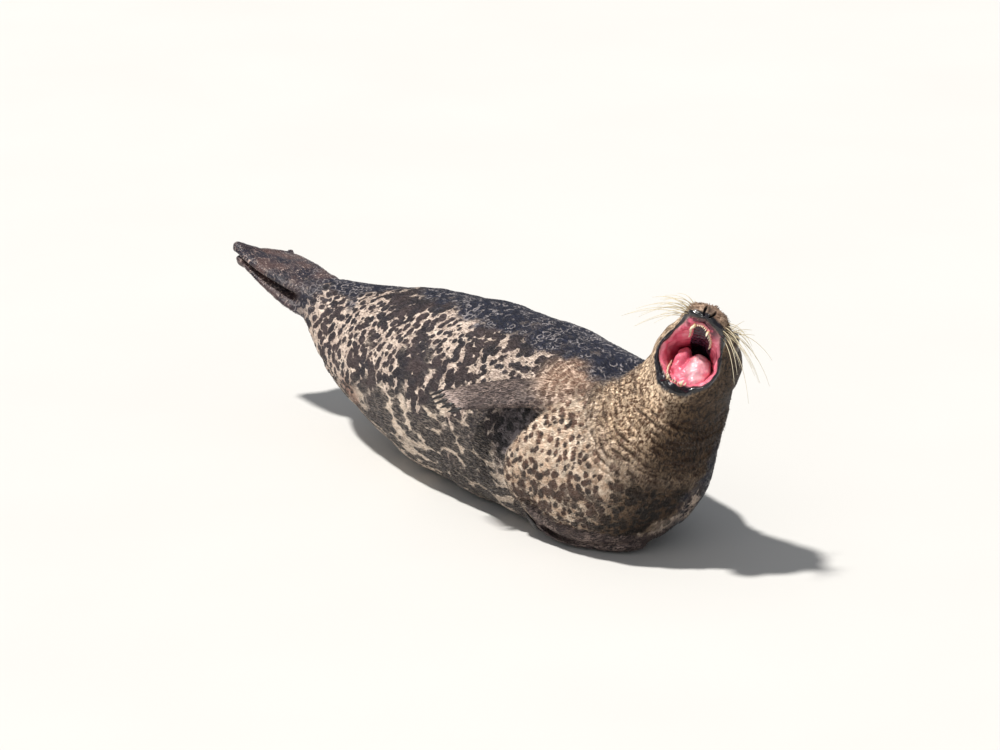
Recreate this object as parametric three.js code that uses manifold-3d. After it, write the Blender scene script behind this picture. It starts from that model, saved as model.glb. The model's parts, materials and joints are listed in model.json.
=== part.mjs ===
// Harbor seal, adult, life-size: lying on its left side with the head and the hind flippers
// raised and the mouth wide open. Millimetres, +Z up, head towards +X, belly towards -Y.
// The flesh is swept sections joined into one body, then parted into named lengths by thin cuts.
import * as THREE from "three";
import { mergeVertices } from "three/addons/utils/BufferGeometryUtils.js";
import Module from "manifold-3d";

const wasm = await Module();
wasm.setup();

// ---- driving dimensions -------------------------------------------------------------------
const PARTING = 0.3; // clear gap between neighbouring solids
const CLAW_ROOM = 2; // clearance of a claw to the flank that it lies against
const GAPE = 78; // degrees between the upper and the lower jaw
const BED = 12; // how softly the flesh spreads onto the ground
const EYE_RADIUS = 17.5;
const CLAWS = {
  fore: { length: 34, radius: 4, lift: 3.6 },
  hind: { length: 22, radius: 3, lift: 3.4 },
};

// Stations of the trunk from tail tip to head: middle of the section, half width from side to
// side, depth towards back and belly, and how far it is rolled onto the left side in degrees.
const STATIONS = [
  { at: [-942, -194, 286], side: 20, back: 36, belly: 38, roll: 76 },
  { at: [-884, -166, 257], side: 54, back: 66, belly: 70, roll: 76 },
  { at: [-806, -131, 218], side: 96, back: 106, belly: 118, roll: 76 },
  { at: [-672, -88, 186], side: 146, back: 146, belly: 164, roll: 77 },
  { at: [-470, -52, 171], side: 184, back: 184, belly: 197, roll: 78 },
  { at: [-235, -22, 166], side: 194, back: 196, belly: 198, roll: 80 },
  { at: [0, 0, 160], side: 184, back: 192, belly: 196, roll: 79 },
  { at: [108, 2, 200], side: 154, back: 161, belly: 172, roll: 72 },
  { at: [190, 15, 286], side: 110, back: 109, belly: 122, roll: 60 },
  { at: [238, 26, 362], side: 88, back: 84, belly: 92, roll: 50 },
  { at: [266, 25, 404], side: 78, back: 70, belly: 74, roll: 44 },
];
const LAST = STATIONS.length - 1;
// Where the trunk is parted, counted in stations.
const CUTS = { tail: 1.3, rump: 3.0, belly: 5.1, chest: 7.3, neck: 8.8 };

// The head's own frame: the jaw joint, the way the muzzle points, and its roll.
const JAW_JOINT = [280, 17, 412];
const MUZZLE = [0.562, -0.151, 0.8135];
const HEAD_ROLL = 43;

// ---- small tools --------------------------------------------------------------------------
const v3 = (x, y, z) => new THREE.Vector3(x, y, z);
const rad = THREE.MathUtils.degToRad;
const clamp = THREE.MathUtils.clamp;

// A smooth function of t, from 0 to 1, through equally spaced numbers or triples.
function through(values) {
  const points = values.map((v) => (Array.isArray(v) ? v3(...v) : v3(v, 0, 0)));
  const curve = new THREE.CatmullRomCurve3(points, false, "catmullrom", 0.5);
  return (t) => curve.getPoint(clamp(t, 0, 1));
}

// Forward, right-hand and back directions of what runs along `heading`, rolled to the left.
function axesAlong(heading, rollDeg) {
  const forward = heading.clone().normalize();
  const level = forward.clone().cross(v3(0, 0, 1)).normalize();
  const upright = level.clone().cross(forward);
  const c = Math.cos(rad(rollDeg));
  const s = Math.sin(rad(rollDeg));
  const right = level.clone().multiplyScalar(c).addScaledVector(upright, s);
  const back = upright.clone().multiplyScalar(c).addScaledVector(level, -s);
  return { forward, right, back };
}

function solid(geometry) {
  geometry.deleteAttribute("normal");
  geometry.deleteAttribute("uv");
  const merged = mergeVertices(geometry, 1e-3);
  const triVerts = new Uint32Array(merged.index.array);
  const vertProperties = merged.attributes.position.array;
  const make = () => new wasm.Manifold(new wasm.Mesh({ numProp: 3, vertProperties, triVerts }));
  const made = make();
  if (made.volume() > 0) return made;
  for (let i = 0; i < triVerts.length; i += 3) {
    [triVerts[i], triVerts[i + 1]] = [triVerts[i + 1], triVerts[i]];
  }
  return make();
}

// Flesh settles on the ground: what would lie below it comes up to one flat level.
function settled(point) {
  const untouched = 8 * BED; // height above which nothing moves
  const pressed = 0.25 * BED * clamp(1 - point.z / untouched, 0, 1); // makes the underside flat
  if (point.z > untouched) return point;
  const eased = BED * Math.log(1 + Math.exp(point.z / BED));
  return point.setZ(Math.max(0, eased - pressed));
}

// A closed solid from a unit sphere's grid: place(t, angle) gives each point, t from 0 to 1.
// With an edge, t = 1 is a line that place() folds flat, in place of a pole.
function shaped(around, along, place, edge = false) {
  const sphere = new THREE.SphereGeometry(1, around, along, 0, 2 * Math.PI, edge ? 0.01 : 0);
  const uv = sphere.getAttribute("uv");
  const position = sphere.getAttribute("position");
  for (let i = 0; i < position.count; i++) {
    const point = settled(place(uv.getY(i), uv.getX(i) * 2 * Math.PI));
    position.setXYZ(i, point.x, point.y, point.z);
  }
  return solid(sphere);
}

// Round ends of a sweep: 0 at both ends, 1 past the share `start` and before `end`.
function endCap(t, start, end) {
  const q = Math.min(clamp(t / start, 0, 1), clamp((1 - t) / end, 0, 1));
  return Math.sqrt(Math.max(0, 1 - (1 - q) ** 2));
}

// A sine or cosine raised so that a round section fills its corners; 2 leaves it round.
const fuller = (x, square) =>
  Math.abs(x) < 1e-9 ? 0 : Math.sign(x) * Math.abs(x) ** (2 / square);

// A body swept along a line: frameAt(t) gives centre, right and back; sizeAt(t) gives half
// width, depth to the back and depth to the front; square above 2 fills the corners out.
// `pinch` is the share by which the section narrows towards its back.
function swept(options) {
  const { around, along, frameAt, sizeAt } = options;
  const { ends = [0.1, 0.1], square = 2, grow = 0, pinch = 0 } = options;
  const bunch = 0.11; // how much closer the rings are near both ends
  return shaped(around, along, (v, angle) => {
    const t = v - bunch * Math.sin(2 * Math.PI * v);
    const f = frameAt(t);
    const size = sizeAt(t);
    const cap = endCap(t, ...ends);
    const c = Math.cos(angle);
    const s = Math.sin(angle);
    const across = fuller(c, square) * (size.x + grow) * cap * (1 - pinch * Math.max(0, s));
    const deep = fuller(s, square) * cap;
    return f.centre
      .clone()
      .addScaledVector(f.right, across)
      .addScaledVector(f.back, deep * ((s > 0 ? size.y : size.z) + grow));
  });
}

const joined = (solids) => solids.reduce((a, b) => a.add(b));

// The largest piece of what a cut leaves.
const largest = (body) => body.decompose().sort((a, b) => b.volume() - a.volume())[0];

// What lies past a plane through `point` on the side of `normal`, less half the parting gap.
const past = (body, normal, point) =>
  body.trimByPlane(normal.toArray(), normal.dot(point) + PARTING / 2);

// ---- trunk --------------------------------------------------------------------------------
const middle = through(STATIONS.map((s) => s.at));
const depths = through(STATIONS.map((s) => [s.side, s.back, s.belly]));
const roll = through(STATIONS.map((s) => s.roll));

function trunkFrame(t) {
  const step = 0.004;
  const heading = middle(t + step).sub(middle(t - step));
  return { centre: middle(t), ...axesAlong(heading, roll(t).x) };
}

const trunk = () =>
  swept({ around: 24, along: 30, frameAt: trunkFrame, sizeAt: depths, ends: [0.05, 0.06] });

// ---- head ---------------------------------------------------------------------------------
const joint = v3(...JAW_JOINT);
const skull = axesAlong(v3(...MUZZLE), HEAD_ROLL);

// A frame in the head, turned down from the muzzle's line by some degrees about the joint.
function headFrame(turnDeg) {
  const forward = skull.forward.clone().applyAxisAngle(skull.right, -rad(turnDeg));
  const back = skull.back.clone().applyAxisAngle(skull.right, -rad(turnDeg));
  const at = (ahead, up = 0, side = 0) =>
    joint.clone().addScaledVector(forward, ahead).addScaledVector(back, up)
      .addScaledVector(skull.right, side);
  return { forward, back, right: skull.right, at };
}
const upper = headFrame(0);
const gape = headFrame(GAPE / 2);
const lower = headFrame(GAPE);

// A sweep along one of those frames. Each row is: distance ahead, height of the centre,
// half width, depth up and depth down.
function headSweep(frame, rows, options = {}) {
  const line = through(rows.map((r) => [r[0], r[1], 0]));
  const sizes = through(rows.map((r) => r.slice(2)));
  return swept({
    around: 16,
    along: 2 * rows.length - 3,
    frameAt: (t) => ({ ...frame, centre: frame.at(line(t).x, line(t).y) }),
    sizeAt: sizes,
    ...options,
  });
}

const cranium = () =>
  headSweep(upper, [
    [-84, -6, 60, 54, 60],
    [-48, -4, 78, 72, 70],
    [-8, -2, 84, 76, 66],
    [30, 0, 77, 71, 42],
    [62, 2, 62, 56, 24],
    [90, 3, 50, 41, 20],
    [114, 2, 47, 31, 19],
    [131, 2, 40, 23, 18],
    [142, 5, 26, 13, 15],
  ], { around: 20, square: 2.25, ends: [0.12, 0.07] });

const jawBone = () =>
  headSweep(lower, [
    [-60, -20, 66, 40, 46],
    [-20, -24, 76, 34, 46],
    [25, -20, 68, 30, 38],
    [65, -15, 54, 24, 29],
    [96, -10, 38, 20, 23],
    [120, -6, 25, 15, 18],
  ], { square: 2.2, ends: [0.12, 0.14] });

const cheeks = () =>
  headSweep(gape, [
    [-70, -4, 76, 70, 74],
    [-20, -4, 86, 82, 82],
    [22, -4, 82, 80, 80],
    [52, -4, 70, 73, 72],
    [76, -4, 61, 68, 68],
  ], { square: 2.3, ends: [0.12, 0.05] });

// The open mouth: narrow under the muzzle, wide above the lower jaw, closing to the throat.
const mouthSpace = () =>
  headSweep(gape, [
    [-42, 2, 15, 12, 14],
    [-12, 1, 31, 24, 26],
    [22, 0, 46, 33, 35],
    [54, 0, 56, 45, 45],
    [84, 0, 60, 59, 56],
    [112, 0, 60, 74, 70],
    [146, 0, 66, 96, 92],
  ], { around: 18, square: 2.2, ends: [0.14, 0.02], pinch: 0.46 });

// ---- teeth, gums, tongue and eyes -----------------------------------------------------------
// A pointed cone standing on `base` along `axis`, with its foot sunk into the gum.
function tooth(base, axis, radius, height) {
  const sides = 5;
  const sunk = 3;
  const level = axis.clone().cross(skull.right).normalize();
  const other = level.clone().cross(axis);
  return shaped(sides, 2, (t, angle) => {
    const r = t === 0.5 ? radius : 0;
    return base.clone().addScaledVector(axis, t < 0.5 ? -sunk : (t - 0.5) * 2 * height)
      .addScaledVector(level, r * Math.cos(angle)).addScaledVector(other, r * Math.sin(angle));
  });
}

// A gum ridge round the front of a jaw, with its teeth. `arch` lists distance ahead and half
// width from the last cheek tooth to the middle; `up` is +1 where the teeth point up.
const TEETH = {
  ridge: [6, 7, 7], // half width, depths of the gum
  foot: 5, // where a crown leaves the gum
  cheek: { count: 5, first: 0.05, pitch: 0.062, radius: 3.6, height: 7 },
  canine: { at: 0.375, radius: 4, height: 13 },
  incisor: { span: 0.16, radius: 1.9, height: 6 },
};
function gumWithTeeth(frame, arch, height, up, incisors, grow = 0) {
  const half = arch.map(([ahead, side]) => [ahead, height, side]);
  const other = half.slice(0, -1).reverse().map(([ahead, h, side]) => [ahead, h, -side]);
  const curve = through([...half, ...other]);
  const place = (t) => frame.at(curve(t).x, curve(t).y, curve(t).z);
  const ridge = swept({
    around: 6,
    along: 11,
    frameAt: (t) => {
      const along = place(t + 0.01).sub(place(t - 0.01)).normalize();
      return { centre: place(t), back: frame.back, right: along.cross(frame.back) };
    },
    sizeAt: () => v3(...TEETH.ridge),
    grow,
  });
  const axis = frame.back.clone().multiplyScalar(up);
  const stand = (t, { radius, height: tall }) =>
    tooth(place(t).addScaledVector(axis, TEETH.foot), axis, radius + grow, tall + grow);
  const teeth = [];
  const { cheek, canine, incisor } = TEETH;
  for (const along of [(share) => share, (share) => 1 - share]) {
    for (let i = 0; i < cheek.count; i++) {
      teeth.push(stand(along(cheek.first + cheek.pitch * i), cheek));
    }
    teeth.push(stand(along(canine.at), canine));
  }
  for (let i = 0; i < incisors; i++) {
    const aside = (i - (incisors - 1) / 2) / incisors;
    teeth.push(stand(0.5 + incisor.span * aside, incisor));
  }
  return joined([ridge, ...teeth]);
}
const upperGums = (grow) =>
  gumWithTeeth(upper, [[44, 26], [64, 23], [83, 20], [98, 14], [105, 0]], -9, -1, 6, grow);
const lowerGums = (grow) =>
  gumWithTeeth(lower, [[40, 32], [60, 29], [78, 24], [93, 15], [100, 0]], 1, 1, 4, grow);

// The tongue: a mound on the floor of the mouth whose raised tip has two lobes.
function tongue(grow = 0) {
  const notch = { depth: 9, width: 9 };
  const rows = through([[48, -10, -14], [50, -11, 4], [52, -11, 20], [53, -10, 38], [55, -8, 54]]);
  const sizes = through([[32, 36, 30], [34, 38, 32], [32, 34, 29], [29, 24, 21], [23, 12, 12]]);
  return shaped(14, 7, (t, angle) => {
    const size = sizes(t);
    const cap = endCap(t, 0.15, 0.3);
    const c = Math.cos(angle);
    const s = Math.sin(angle);
    const side = rows(t).y + c * (size.x + grow) * cap;
    const ahead = rows(t).x + s * ((s > 0 ? size.z : size.y) + grow) * cap;
    const fromMiddle = (side - rows(t).y) / notch.width;
    const sunk = notch.depth * t ** 4 * Math.exp(-(fromMiddle ** 2));
    return lower.at(ahead, rows(t).z - sunk, side);
  });
}

function ball(centre, radius) {
  const sphere = new THREE.SphereGeometry(radius, 10, 7);
  sphere.translate(centre.x, centre.y, centre.z);
  return solid(sphere);
}
const EYE_AT = { ahead: 59, up: 31, side: 42 };
const eyeCentre = (side) => upper.at(EYE_AT.ahead, EYE_AT.up, side * EYE_AT.side);

// ---- flippers -------------------------------------------------------------------------------
// A flipper of five digits as one sheet of flesh: `line` runs down its middle, `normal` is the
// way its outer face looks, rows give half width and half thickness from root to tip, and
// reach(v) is how far the edge gets at v, from -1 at the fifth digit to 1 at the first.
const DIGITS = [0.8, 0.4, 0, -0.4, -0.8];
const ridged = (v) => 0.5 + 0.5 * Math.cos(5 * Math.PI * v); // 1 along each digit
const SCALLOP = 0.05; // how far the web between two digits stays back
const CORNER = 0.08; // how far the edge draws back beside the outer digits
const WEB = { thinner: 0.34, from: 0.35, over: 0.4 }; // grooves between digits
const FLIPPER_ENDS = [0.12, 0.16];

function flipper({ line, normal, sizes, reach }) {
  const middleLine = through(line);
  const facing = through(normal);
  const size = through(sizes);
  const at = (s, v, lift) => {
    const forward = middleLine(s + 0.01).sub(middleLine(s - 0.01)).normalize();
    const across = forward.clone().cross(facing(s)).normalize();
    const up = across.clone().cross(forward);
    return middleLine(s).addScaledVector(across, v * size(s).x).addScaledVector(up, lift);
  };
  const scallop = (v) =>
    reach(v) - SCALLOP * (1 - ridged(v)) - CORNER * clamp(5 * Math.abs(v) - 4, 0, 1) ** 2;
  const flesh = (grow = 0) =>
    shaped(30, 7, (t, angle) => {
      const turn = angle / Math.PI; // 0 to 1 over the outer face, 1 to 2 over the sole
      const v = Number((turn <= 1 ? 1 - 2 * turn : 2 * turn - 3).toFixed(6));
      const s = t * scallop(v);
      const round = Math.sqrt(Math.max(0, 1 - Math.abs(v) ** 2.6)) * endCap(t, ...FLIPPER_ENDS);
      const groove = WEB.thinner * clamp((s - WEB.from) / WEB.over, 0, 1) * (1 - ridged(v));
      const lift = (size(s).y * (1 - groove) + grow) * round * (turn <= 1 ? 1 : -1);
      const broad = endCap(Math.min(t, 0.5), FLIPPER_ENDS[0], 1);
      return at(s, v * broad, t === 1 ? 0 : lift);
    }, true);
  return { at, scallop, flesh };
}

// A claw on the outer face of a digit's tip, bent down a little towards its point.
const CLAW_ROOT = 0.07; // how far behind the digit's tip a claw starts
const CLAW_BEND = 0.14;
function claw({ at, scallop }, v, { length, radius, lift }, grow = 0) {
  const tip = scallop(v);
  const root = at(tip - CLAW_ROOT, v, lift);
  const ahead = at(tip, v, lift).sub(root).normalize();
  const up = at(tip - CLAW_ROOT, v, 2 * lift).sub(root).normalize();
  const across = ahead.clone().cross(up);
  return shaped(5, 4, (t, angle) => {
    const r = (radius * endCap(t, 0.15, 1) + grow) * (t > 0 && t < 1 ? 1 : 0);
    return root.clone().addScaledVector(ahead, t * length)
      .addScaledVector(up, 0.8 * r * Math.sin(angle) - CLAW_BEND * length * t * t)
      .addScaledVector(across, r * Math.cos(angle));
  });
}

const foreSizes = [[36, 24], [44, 18], [50, 13], [47, 9], [36, 5]];
const hindSizes = [[38, 16], [62, 13], [77, 10], [84, 7], [86, 5]];
const foreReach = (v) => 1 - 0.08 * (1 - v) - 0.04 * v * v;
const hindReach = (v) => 1 - 0.17 * (1 - v * v);

const FLIPPERS = {
  right_foreflipper: flipper({
    line: [[66, -58, 288], [-16, -146, 292], [-98, -228, 278], [-172, -312, 250]],
    normal: [[0.35, -0.4, 0.85], [0.3, -0.25, 0.92], [0.28, -0.2, 0.94]],
    sizes: foreSizes,
    reach: foreReach,
  }),
  left_foreflipper: flipper({
    line: [[116, 0, 44], [106, -34, 6], [48, -80, -1], [-8, -120, 5], [-54, -160, 37]],
    normal: [[0, 0, -1], [0, -0.1, -1], [0, -0.35, -0.93], [0.17, -0.76, -0.62]],
    sizes: foreSizes,
    reach: foreReach,
  }),
  right_hind_flipper: flipper({
    line: [[-866, -170, 276], [-956, -202, 303], [-1036, -216, 320], [-1102, -222, 331]],
    normal: [[0.3, -0.14, 0.94], [0.22, 0.1, 0.94], [0.14, 0.28, 0.95]],
    sizes: hindSizes,
    reach: hindReach,
  }),
  left_hind_flipper: flipper({
    line: [[-866, -180, 230], [-956, -200, 264], [-1036, -210, 290], [-1100, -220, 311]],
    normal: [[-0.3, 0.14, -0.94], [-0.22, -0.1, -0.94], [-0.14, -0.28, -0.95]],
    sizes: hindSizes,
    reach: hindReach,
  }),
};

// ---- assembling ---------------------------------------------------------------------------
const COLOURS = {
  hide: 0x6b5b4b, flipper: 0x4a3d38, claw: 0x1c1a1c, gum: 0xb05560, tongue: 0xd98a96, eye: 0x0c0a0a,
};
const placed = new THREE.Group();

function add(name, made, colour, roughness = 0.8) {
  const mesh = largest(made).getMesh();
  const geometry = new THREE.BufferGeometry();
  geometry.setAttribute("position", new THREE.BufferAttribute(mesh.vertProperties, 3));
  geometry.setIndex(new THREE.BufferAttribute(mesh.triVerts, 1));
  const material = new THREE.MeshStandardMaterial({ color: colour, roughness, metalness: 0 });
  const node = new THREE.Mesh(geometry, material);
  node.name = name;
  placed.add(node);
}

const mouth = mouthSpace();
const head = joined([cranium(), cheeks(), jawBone()]);
let body = joined([trunk(), head]).subtract(mouth);

for (const [name, made] of Object.entries(FLIPPERS)) {
  const kind = CLAWS[name.includes("hind") ? "hind" : "fore"];
  let flesh = made.flesh();
  DIGITS.forEach((v, i) => {
    flesh = flesh.subtract(claw(made, v, kind, PARTING));
    body = body.subtract(claw(made, v, kind, CLAW_ROOM));
    add(`${name}_claw_${i + 1}`, claw(made, v, kind), COLOURS.claw, 0.35);
  });
  add(name, flesh, COLOURS.flipper, 0.6);
  body = body.subtract(made.flesh(PARTING));
}
for (const [name, side] of [["right_eye", 1], ["left_eye", -1]]) {
  add(name, ball(eyeCentre(side), EYE_RADIUS), COLOURS.eye, 0.1);
  body = body.subtract(ball(eyeCentre(side), EYE_RADIUS + PARTING));
}
add("upper_gums", upperGums(), COLOURS.gum, 0.3);
add("lower_gums", lowerGums(), COLOURS.gum, 0.3);
add("tongue", tongue().subtract(lowerGums(PARTING)), COLOURS.tongue, 0.3);
body = body.subtract(joined([upperGums(PARTING), lowerGums(PARTING), tongue(PARTING)]));

for (const [name, station] of Object.entries(CUTS)) {
  const f = trunkFrame(station / LAST);
  add(name, past(body, f.forward.clone().negate(), f.centre), COLOURS.hide);
  body = past(body, f.forward, f.centre);
}
add("head", past(body, gape.back, joint), COLOURS.hide);
add("lower_jaw", past(body, gape.back.clone().negate(), joint), COLOURS.hide);

// The origin is the middle of the underside of the box round the whole animal.
const box = new THREE.Box3().setFromObject(placed);
const centre = box.getCenter(v3());
placed.position.set(-centre.x, -centre.y, -box.min.z);
const group = new THREE.Group();
group.add(placed);

export default group;
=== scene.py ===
"""Harbor seal, life-size, for a museum: the looks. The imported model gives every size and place."""
import json
import math
from contextlib import contextmanager

import bpy
import numpy as np
from mathutils import Matrix, Vector
from mathutils.bvhtree import BVHTree

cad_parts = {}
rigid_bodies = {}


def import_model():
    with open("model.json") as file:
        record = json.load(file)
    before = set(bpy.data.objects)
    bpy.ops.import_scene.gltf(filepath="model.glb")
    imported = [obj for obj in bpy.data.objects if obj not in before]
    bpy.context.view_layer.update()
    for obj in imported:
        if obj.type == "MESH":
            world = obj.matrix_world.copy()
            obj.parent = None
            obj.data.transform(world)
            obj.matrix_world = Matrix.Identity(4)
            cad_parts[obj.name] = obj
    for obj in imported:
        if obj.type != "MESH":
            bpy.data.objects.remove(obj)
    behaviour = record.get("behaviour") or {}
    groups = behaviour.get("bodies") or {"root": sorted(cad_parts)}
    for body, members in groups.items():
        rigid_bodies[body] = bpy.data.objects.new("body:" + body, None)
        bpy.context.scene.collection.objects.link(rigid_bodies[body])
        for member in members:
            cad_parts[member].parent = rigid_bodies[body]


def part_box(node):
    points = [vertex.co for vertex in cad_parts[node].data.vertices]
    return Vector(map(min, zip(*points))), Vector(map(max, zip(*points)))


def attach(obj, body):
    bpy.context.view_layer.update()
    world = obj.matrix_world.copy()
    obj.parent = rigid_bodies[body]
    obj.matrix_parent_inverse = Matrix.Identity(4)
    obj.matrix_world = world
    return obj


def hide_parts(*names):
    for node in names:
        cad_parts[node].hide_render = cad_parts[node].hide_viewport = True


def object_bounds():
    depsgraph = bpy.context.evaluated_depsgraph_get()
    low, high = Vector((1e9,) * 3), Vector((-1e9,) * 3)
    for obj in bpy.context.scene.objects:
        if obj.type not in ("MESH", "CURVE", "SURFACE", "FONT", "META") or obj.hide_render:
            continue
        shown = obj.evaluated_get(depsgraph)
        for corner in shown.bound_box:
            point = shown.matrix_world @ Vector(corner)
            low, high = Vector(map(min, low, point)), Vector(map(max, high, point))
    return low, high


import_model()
cad_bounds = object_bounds()
rng = np.random.default_rng(7)
MM = 0.001

TRUNK = ["tail", "rump", "belly", "chest", "neck"]
SIDES = {"right": 1, "left": -1}
FLIPPERS = [f"{side}_{limb}" for limb in ("foreflipper", "hind_flipper") for side in SIDES]
FLESH = TRUNK + ["head", "lower_jaw"] + FLIPPERS
CLAWS = {f: [f"{f}_claw_{i + 1}" for i in range(5)] for f in FLIPPERS}


# ---- small tools ---------------------------------------------------------------------------
def unit(v):
    return v / np.maximum(np.linalg.norm(v, axis=-1, keepdims=True), 1e-12)


def ease(x, low, high):
    """0 below low, 1 above high, smooth between; it falls where low is above high."""
    t = np.clip((np.asarray(x, float) - low) / (high - low), 0, 1)
    return t * t * (3 - 2 * t)


def hump(x, middle, width):
    """1 at the middle, and nearly 0 from twice the width away."""
    return np.exp(-(((np.asarray(x, float) - middle) / width) ** 2))


def box_of(node):
    low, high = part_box(node)
    return np.array(low), np.array(high)


def middle_of(node):
    low, high = box_of(node)
    return (low + high) / 2


def dot(a, b):
    return (a * b).sum(-1)


class Ripple:
    """A smooth random field in space: a few dozen waves of about one length."""

    def __init__(self, length, waves=24):
        ways = unit(rng.normal(size=(waves, 3)))
        self.ways = ways * (2 * math.pi / length) * rng.uniform(0.6, 1.5, (waves, 1))
        self.starts = rng.uniform(0, 2 * math.pi, waves)

    def __call__(self, points):
        total = np.zeros(len(points))
        for way, start in zip(self.ways, self.starts):
            total += np.cos(points @ way + start)
        return total * math.sqrt(2 / len(self.starts))


def select(*objects):
    """Only these, with the first of them active."""
    bpy.ops.object.select_all(action="DESELECT")
    for o in objects:
        o.select_set(True)
    if objects:
        bpy.context.view_layer.objects.active = objects[0]


@contextmanager
def editing(o):
    """Edit mode, with the whole of an object's mesh selected."""
    select(o)
    bpy.ops.object.mode_set(mode="EDIT")
    bpy.ops.mesh.select_all(action="SELECT")
    yield
    bpy.ops.object.mode_set(mode="OBJECT")


def outward(o):
    """Turns the faces of closed shapes outwards."""
    with editing(o):
        bpy.ops.mesh.normals_make_consistent(inside=False)
    return o


def smooth_shaded(o):
    o.data.polygons.foreach_set("use_smooth", [True] * len(o.data.polygons))
    return o


def joined(parts, name):
    select(*parts)
    if len(parts) > 1:
        bpy.ops.object.join()
    parts[0].name = parts[0].data.name = name
    return parts[0]


def modified(o, kind, **settings):
    """The object, with a modifier applied."""
    select(o)
    m = o.modifiers.new(kind.lower(), kind)
    for name, value in settings.items():
        setattr(m, name, value)
    bpy.ops.object.modifier_apply(modifier=m.name)
    return o


def points_of(mesh, what="co"):
    values = np.empty(len(mesh.vertices) * 3, np.float32)
    mesh.vertices.foreach_get(what, values)
    return values.reshape(-1, 3).astype(float)


def tree_of(mesh):
    return BVHTree.FromPolygons(points_of(mesh).tolist(), [p.vertices[:] for p in mesh.polygons])


def move_points(mesh, points):
    mesh.vertices.foreach_set("co", np.ascontiguousarray(points, np.float32).ravel())
    mesh.update()


def copy_of(nodes, name):
    """One new object of copies of CAD nodes, with their doubled points merged."""
    select()
    parts = []
    for node in nodes:
        part = bpy.data.objects[node].copy()
        part.data = part.data.copy()
        part.animation_data_clear()
        bpy.context.collection.objects.link(part)
        part.hide_render = False
        part.hide_viewport = False
        part.parent = None
        part.matrix_world = Matrix()
        parts.append(part)
    made = joined(parts, name)
    for key in list(made.keys()):
        del made[key]
    made.data.materials.clear()
    with editing(made):
        bpy.ops.mesh.remove_doubles(threshold=1e-6)
    return made


def in_scene(name, data):
    """A new object for a mesh, a lamp or a camera."""
    o = bpy.data.objects.new(name, data)
    bpy.context.collection.objects.link(o)
    return o


def new_object(name, points, faces):
    mesh = bpy.data.meshes.new(name)
    mesh.from_pydata([tuple(p) for p in points], [], faces)
    mesh.update()
    return smooth_shaded(in_scene(name, mesh))


def ring_faces(rings, around, closed=False, swapped=False):
    """The faces between rings of points, with two lids unless the rings close up."""
    faces = []
    if not closed:
        last = (rings - 1) * around
        lids = [tuple(range(around))[::-1], tuple(range(last, last + around))]
        faces = [lid[::-1] if swapped else lid for lid in lids]
    for i in range(rings if closed else rings - 1):
        for k in range(around):
            j, m = (i + 1) % rings, (k + 1) % around
            face = (i * around + k, i * around + m, j * around + m, j * around + k)
            faces.append(face[:1] + face[:0:-1] if swapped else face)
    return faces


def paint(mesh, name, values):
    """A colour attribute, of four values at each point."""
    layer = mesh.attributes.new(name, "FLOAT_COLOR", "POINT")
    layer.data.foreach_set("color", np.ascontiguousarray(values, np.float32).ravel())


def paint_number(mesh, name, values):
    """An attribute of one value at each point."""
    layer = mesh.attributes.new(name, "FLOAT", "POINT")
    layer.data.foreach_set("value", np.ascontiguousarray(values, np.float32))


class Net:
    """The net of a mesh's edges: what is averaged over each point's neighbours."""

    def __init__(self, mesh):
        e = np.empty(len(mesh.edges) * 2, np.int32)
        mesh.edges.foreach_get("vertices", e)
        a, b = e[0::2], e[1::2]
        self.here, self.there = np.concatenate([a, b]), np.concatenate([b, a])
        self.n = len(mesh.vertices)
        self.count = np.maximum(np.bincount(self.here, minlength=self.n), 1)

    def average(self, values):
        if values.ndim == 1:
            return np.bincount(self.here, values[self.there], self.n) / self.count
        return np.stack([self.average(values[:, i]) for i in range(values.shape[1])], 1)

    def smooth(self, values, rounds, share=1.0):
        for _ in range(rounds):
            values = values + share * (self.average(values) - values)
        return values


# ---- places, all worked out from the frame --------------------------------------------------
HEAD_FORWARD = np.array([0.562, -0.151, 0.8135])  # the way the muzzle points
EYE_AHEAD, EYE_UP, EYE_RADIUS = 59 * MM, 31 * MM, 17.5 * MM  # from the jaw joint
GAPE = math.radians(78)

eye_at = {side: middle_of(f"{side}_eye") for side in SIDES}
head_right = unit(eye_at["right"] - eye_at["left"])
head_ahead = unit(HEAD_FORWARD - head_right * dot(HEAD_FORWARD, head_right))
head_up = np.cross(head_right, head_ahead)
jaw_joint = (eye_at["right"] + eye_at["left"]) / 2 - head_ahead * EYE_AHEAD - head_up * EYE_UP


class HeadFrame:
    """Axes at the jaw joint, turned down by an angle from the upper jaw's line."""

    def __init__(self, turn):
        self.ahead = head_ahead * math.cos(turn) - head_up * math.sin(turn)
        self.up = head_up * math.cos(turn) + head_ahead * math.sin(turn)

    def at(self, ahead, up=0.0, side=0.0):
        """A place in the head, from millimetres."""
        return jaw_joint + MM * (ahead * self.ahead + up * self.up + side * head_right)

    def of(self, points):
        """Millimetres ahead, up and to the right of the joint."""
        v = (points - jaw_joint) / MM
        return v @ self.ahead, v @ self.up, v @ head_right


upper_jaw, open_mouth, lower_jaw = HeadFrame(0), HeadFrame(GAPE / 2), HeadFrame(GAPE)

# The spine's line from the tail tip to the head, and the way the back looks along it.
tail_end = middle_of("tail") - unit(middle_of("rump") - middle_of("tail")) * 0.05
spine_marks = [tail_end] + [middle_of(n) for n in TRUNK] + [jaw_joint]
TRUNK_BACK = np.array([0.0, 0.978, 0.208])  # the animal lies on its left side


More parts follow.
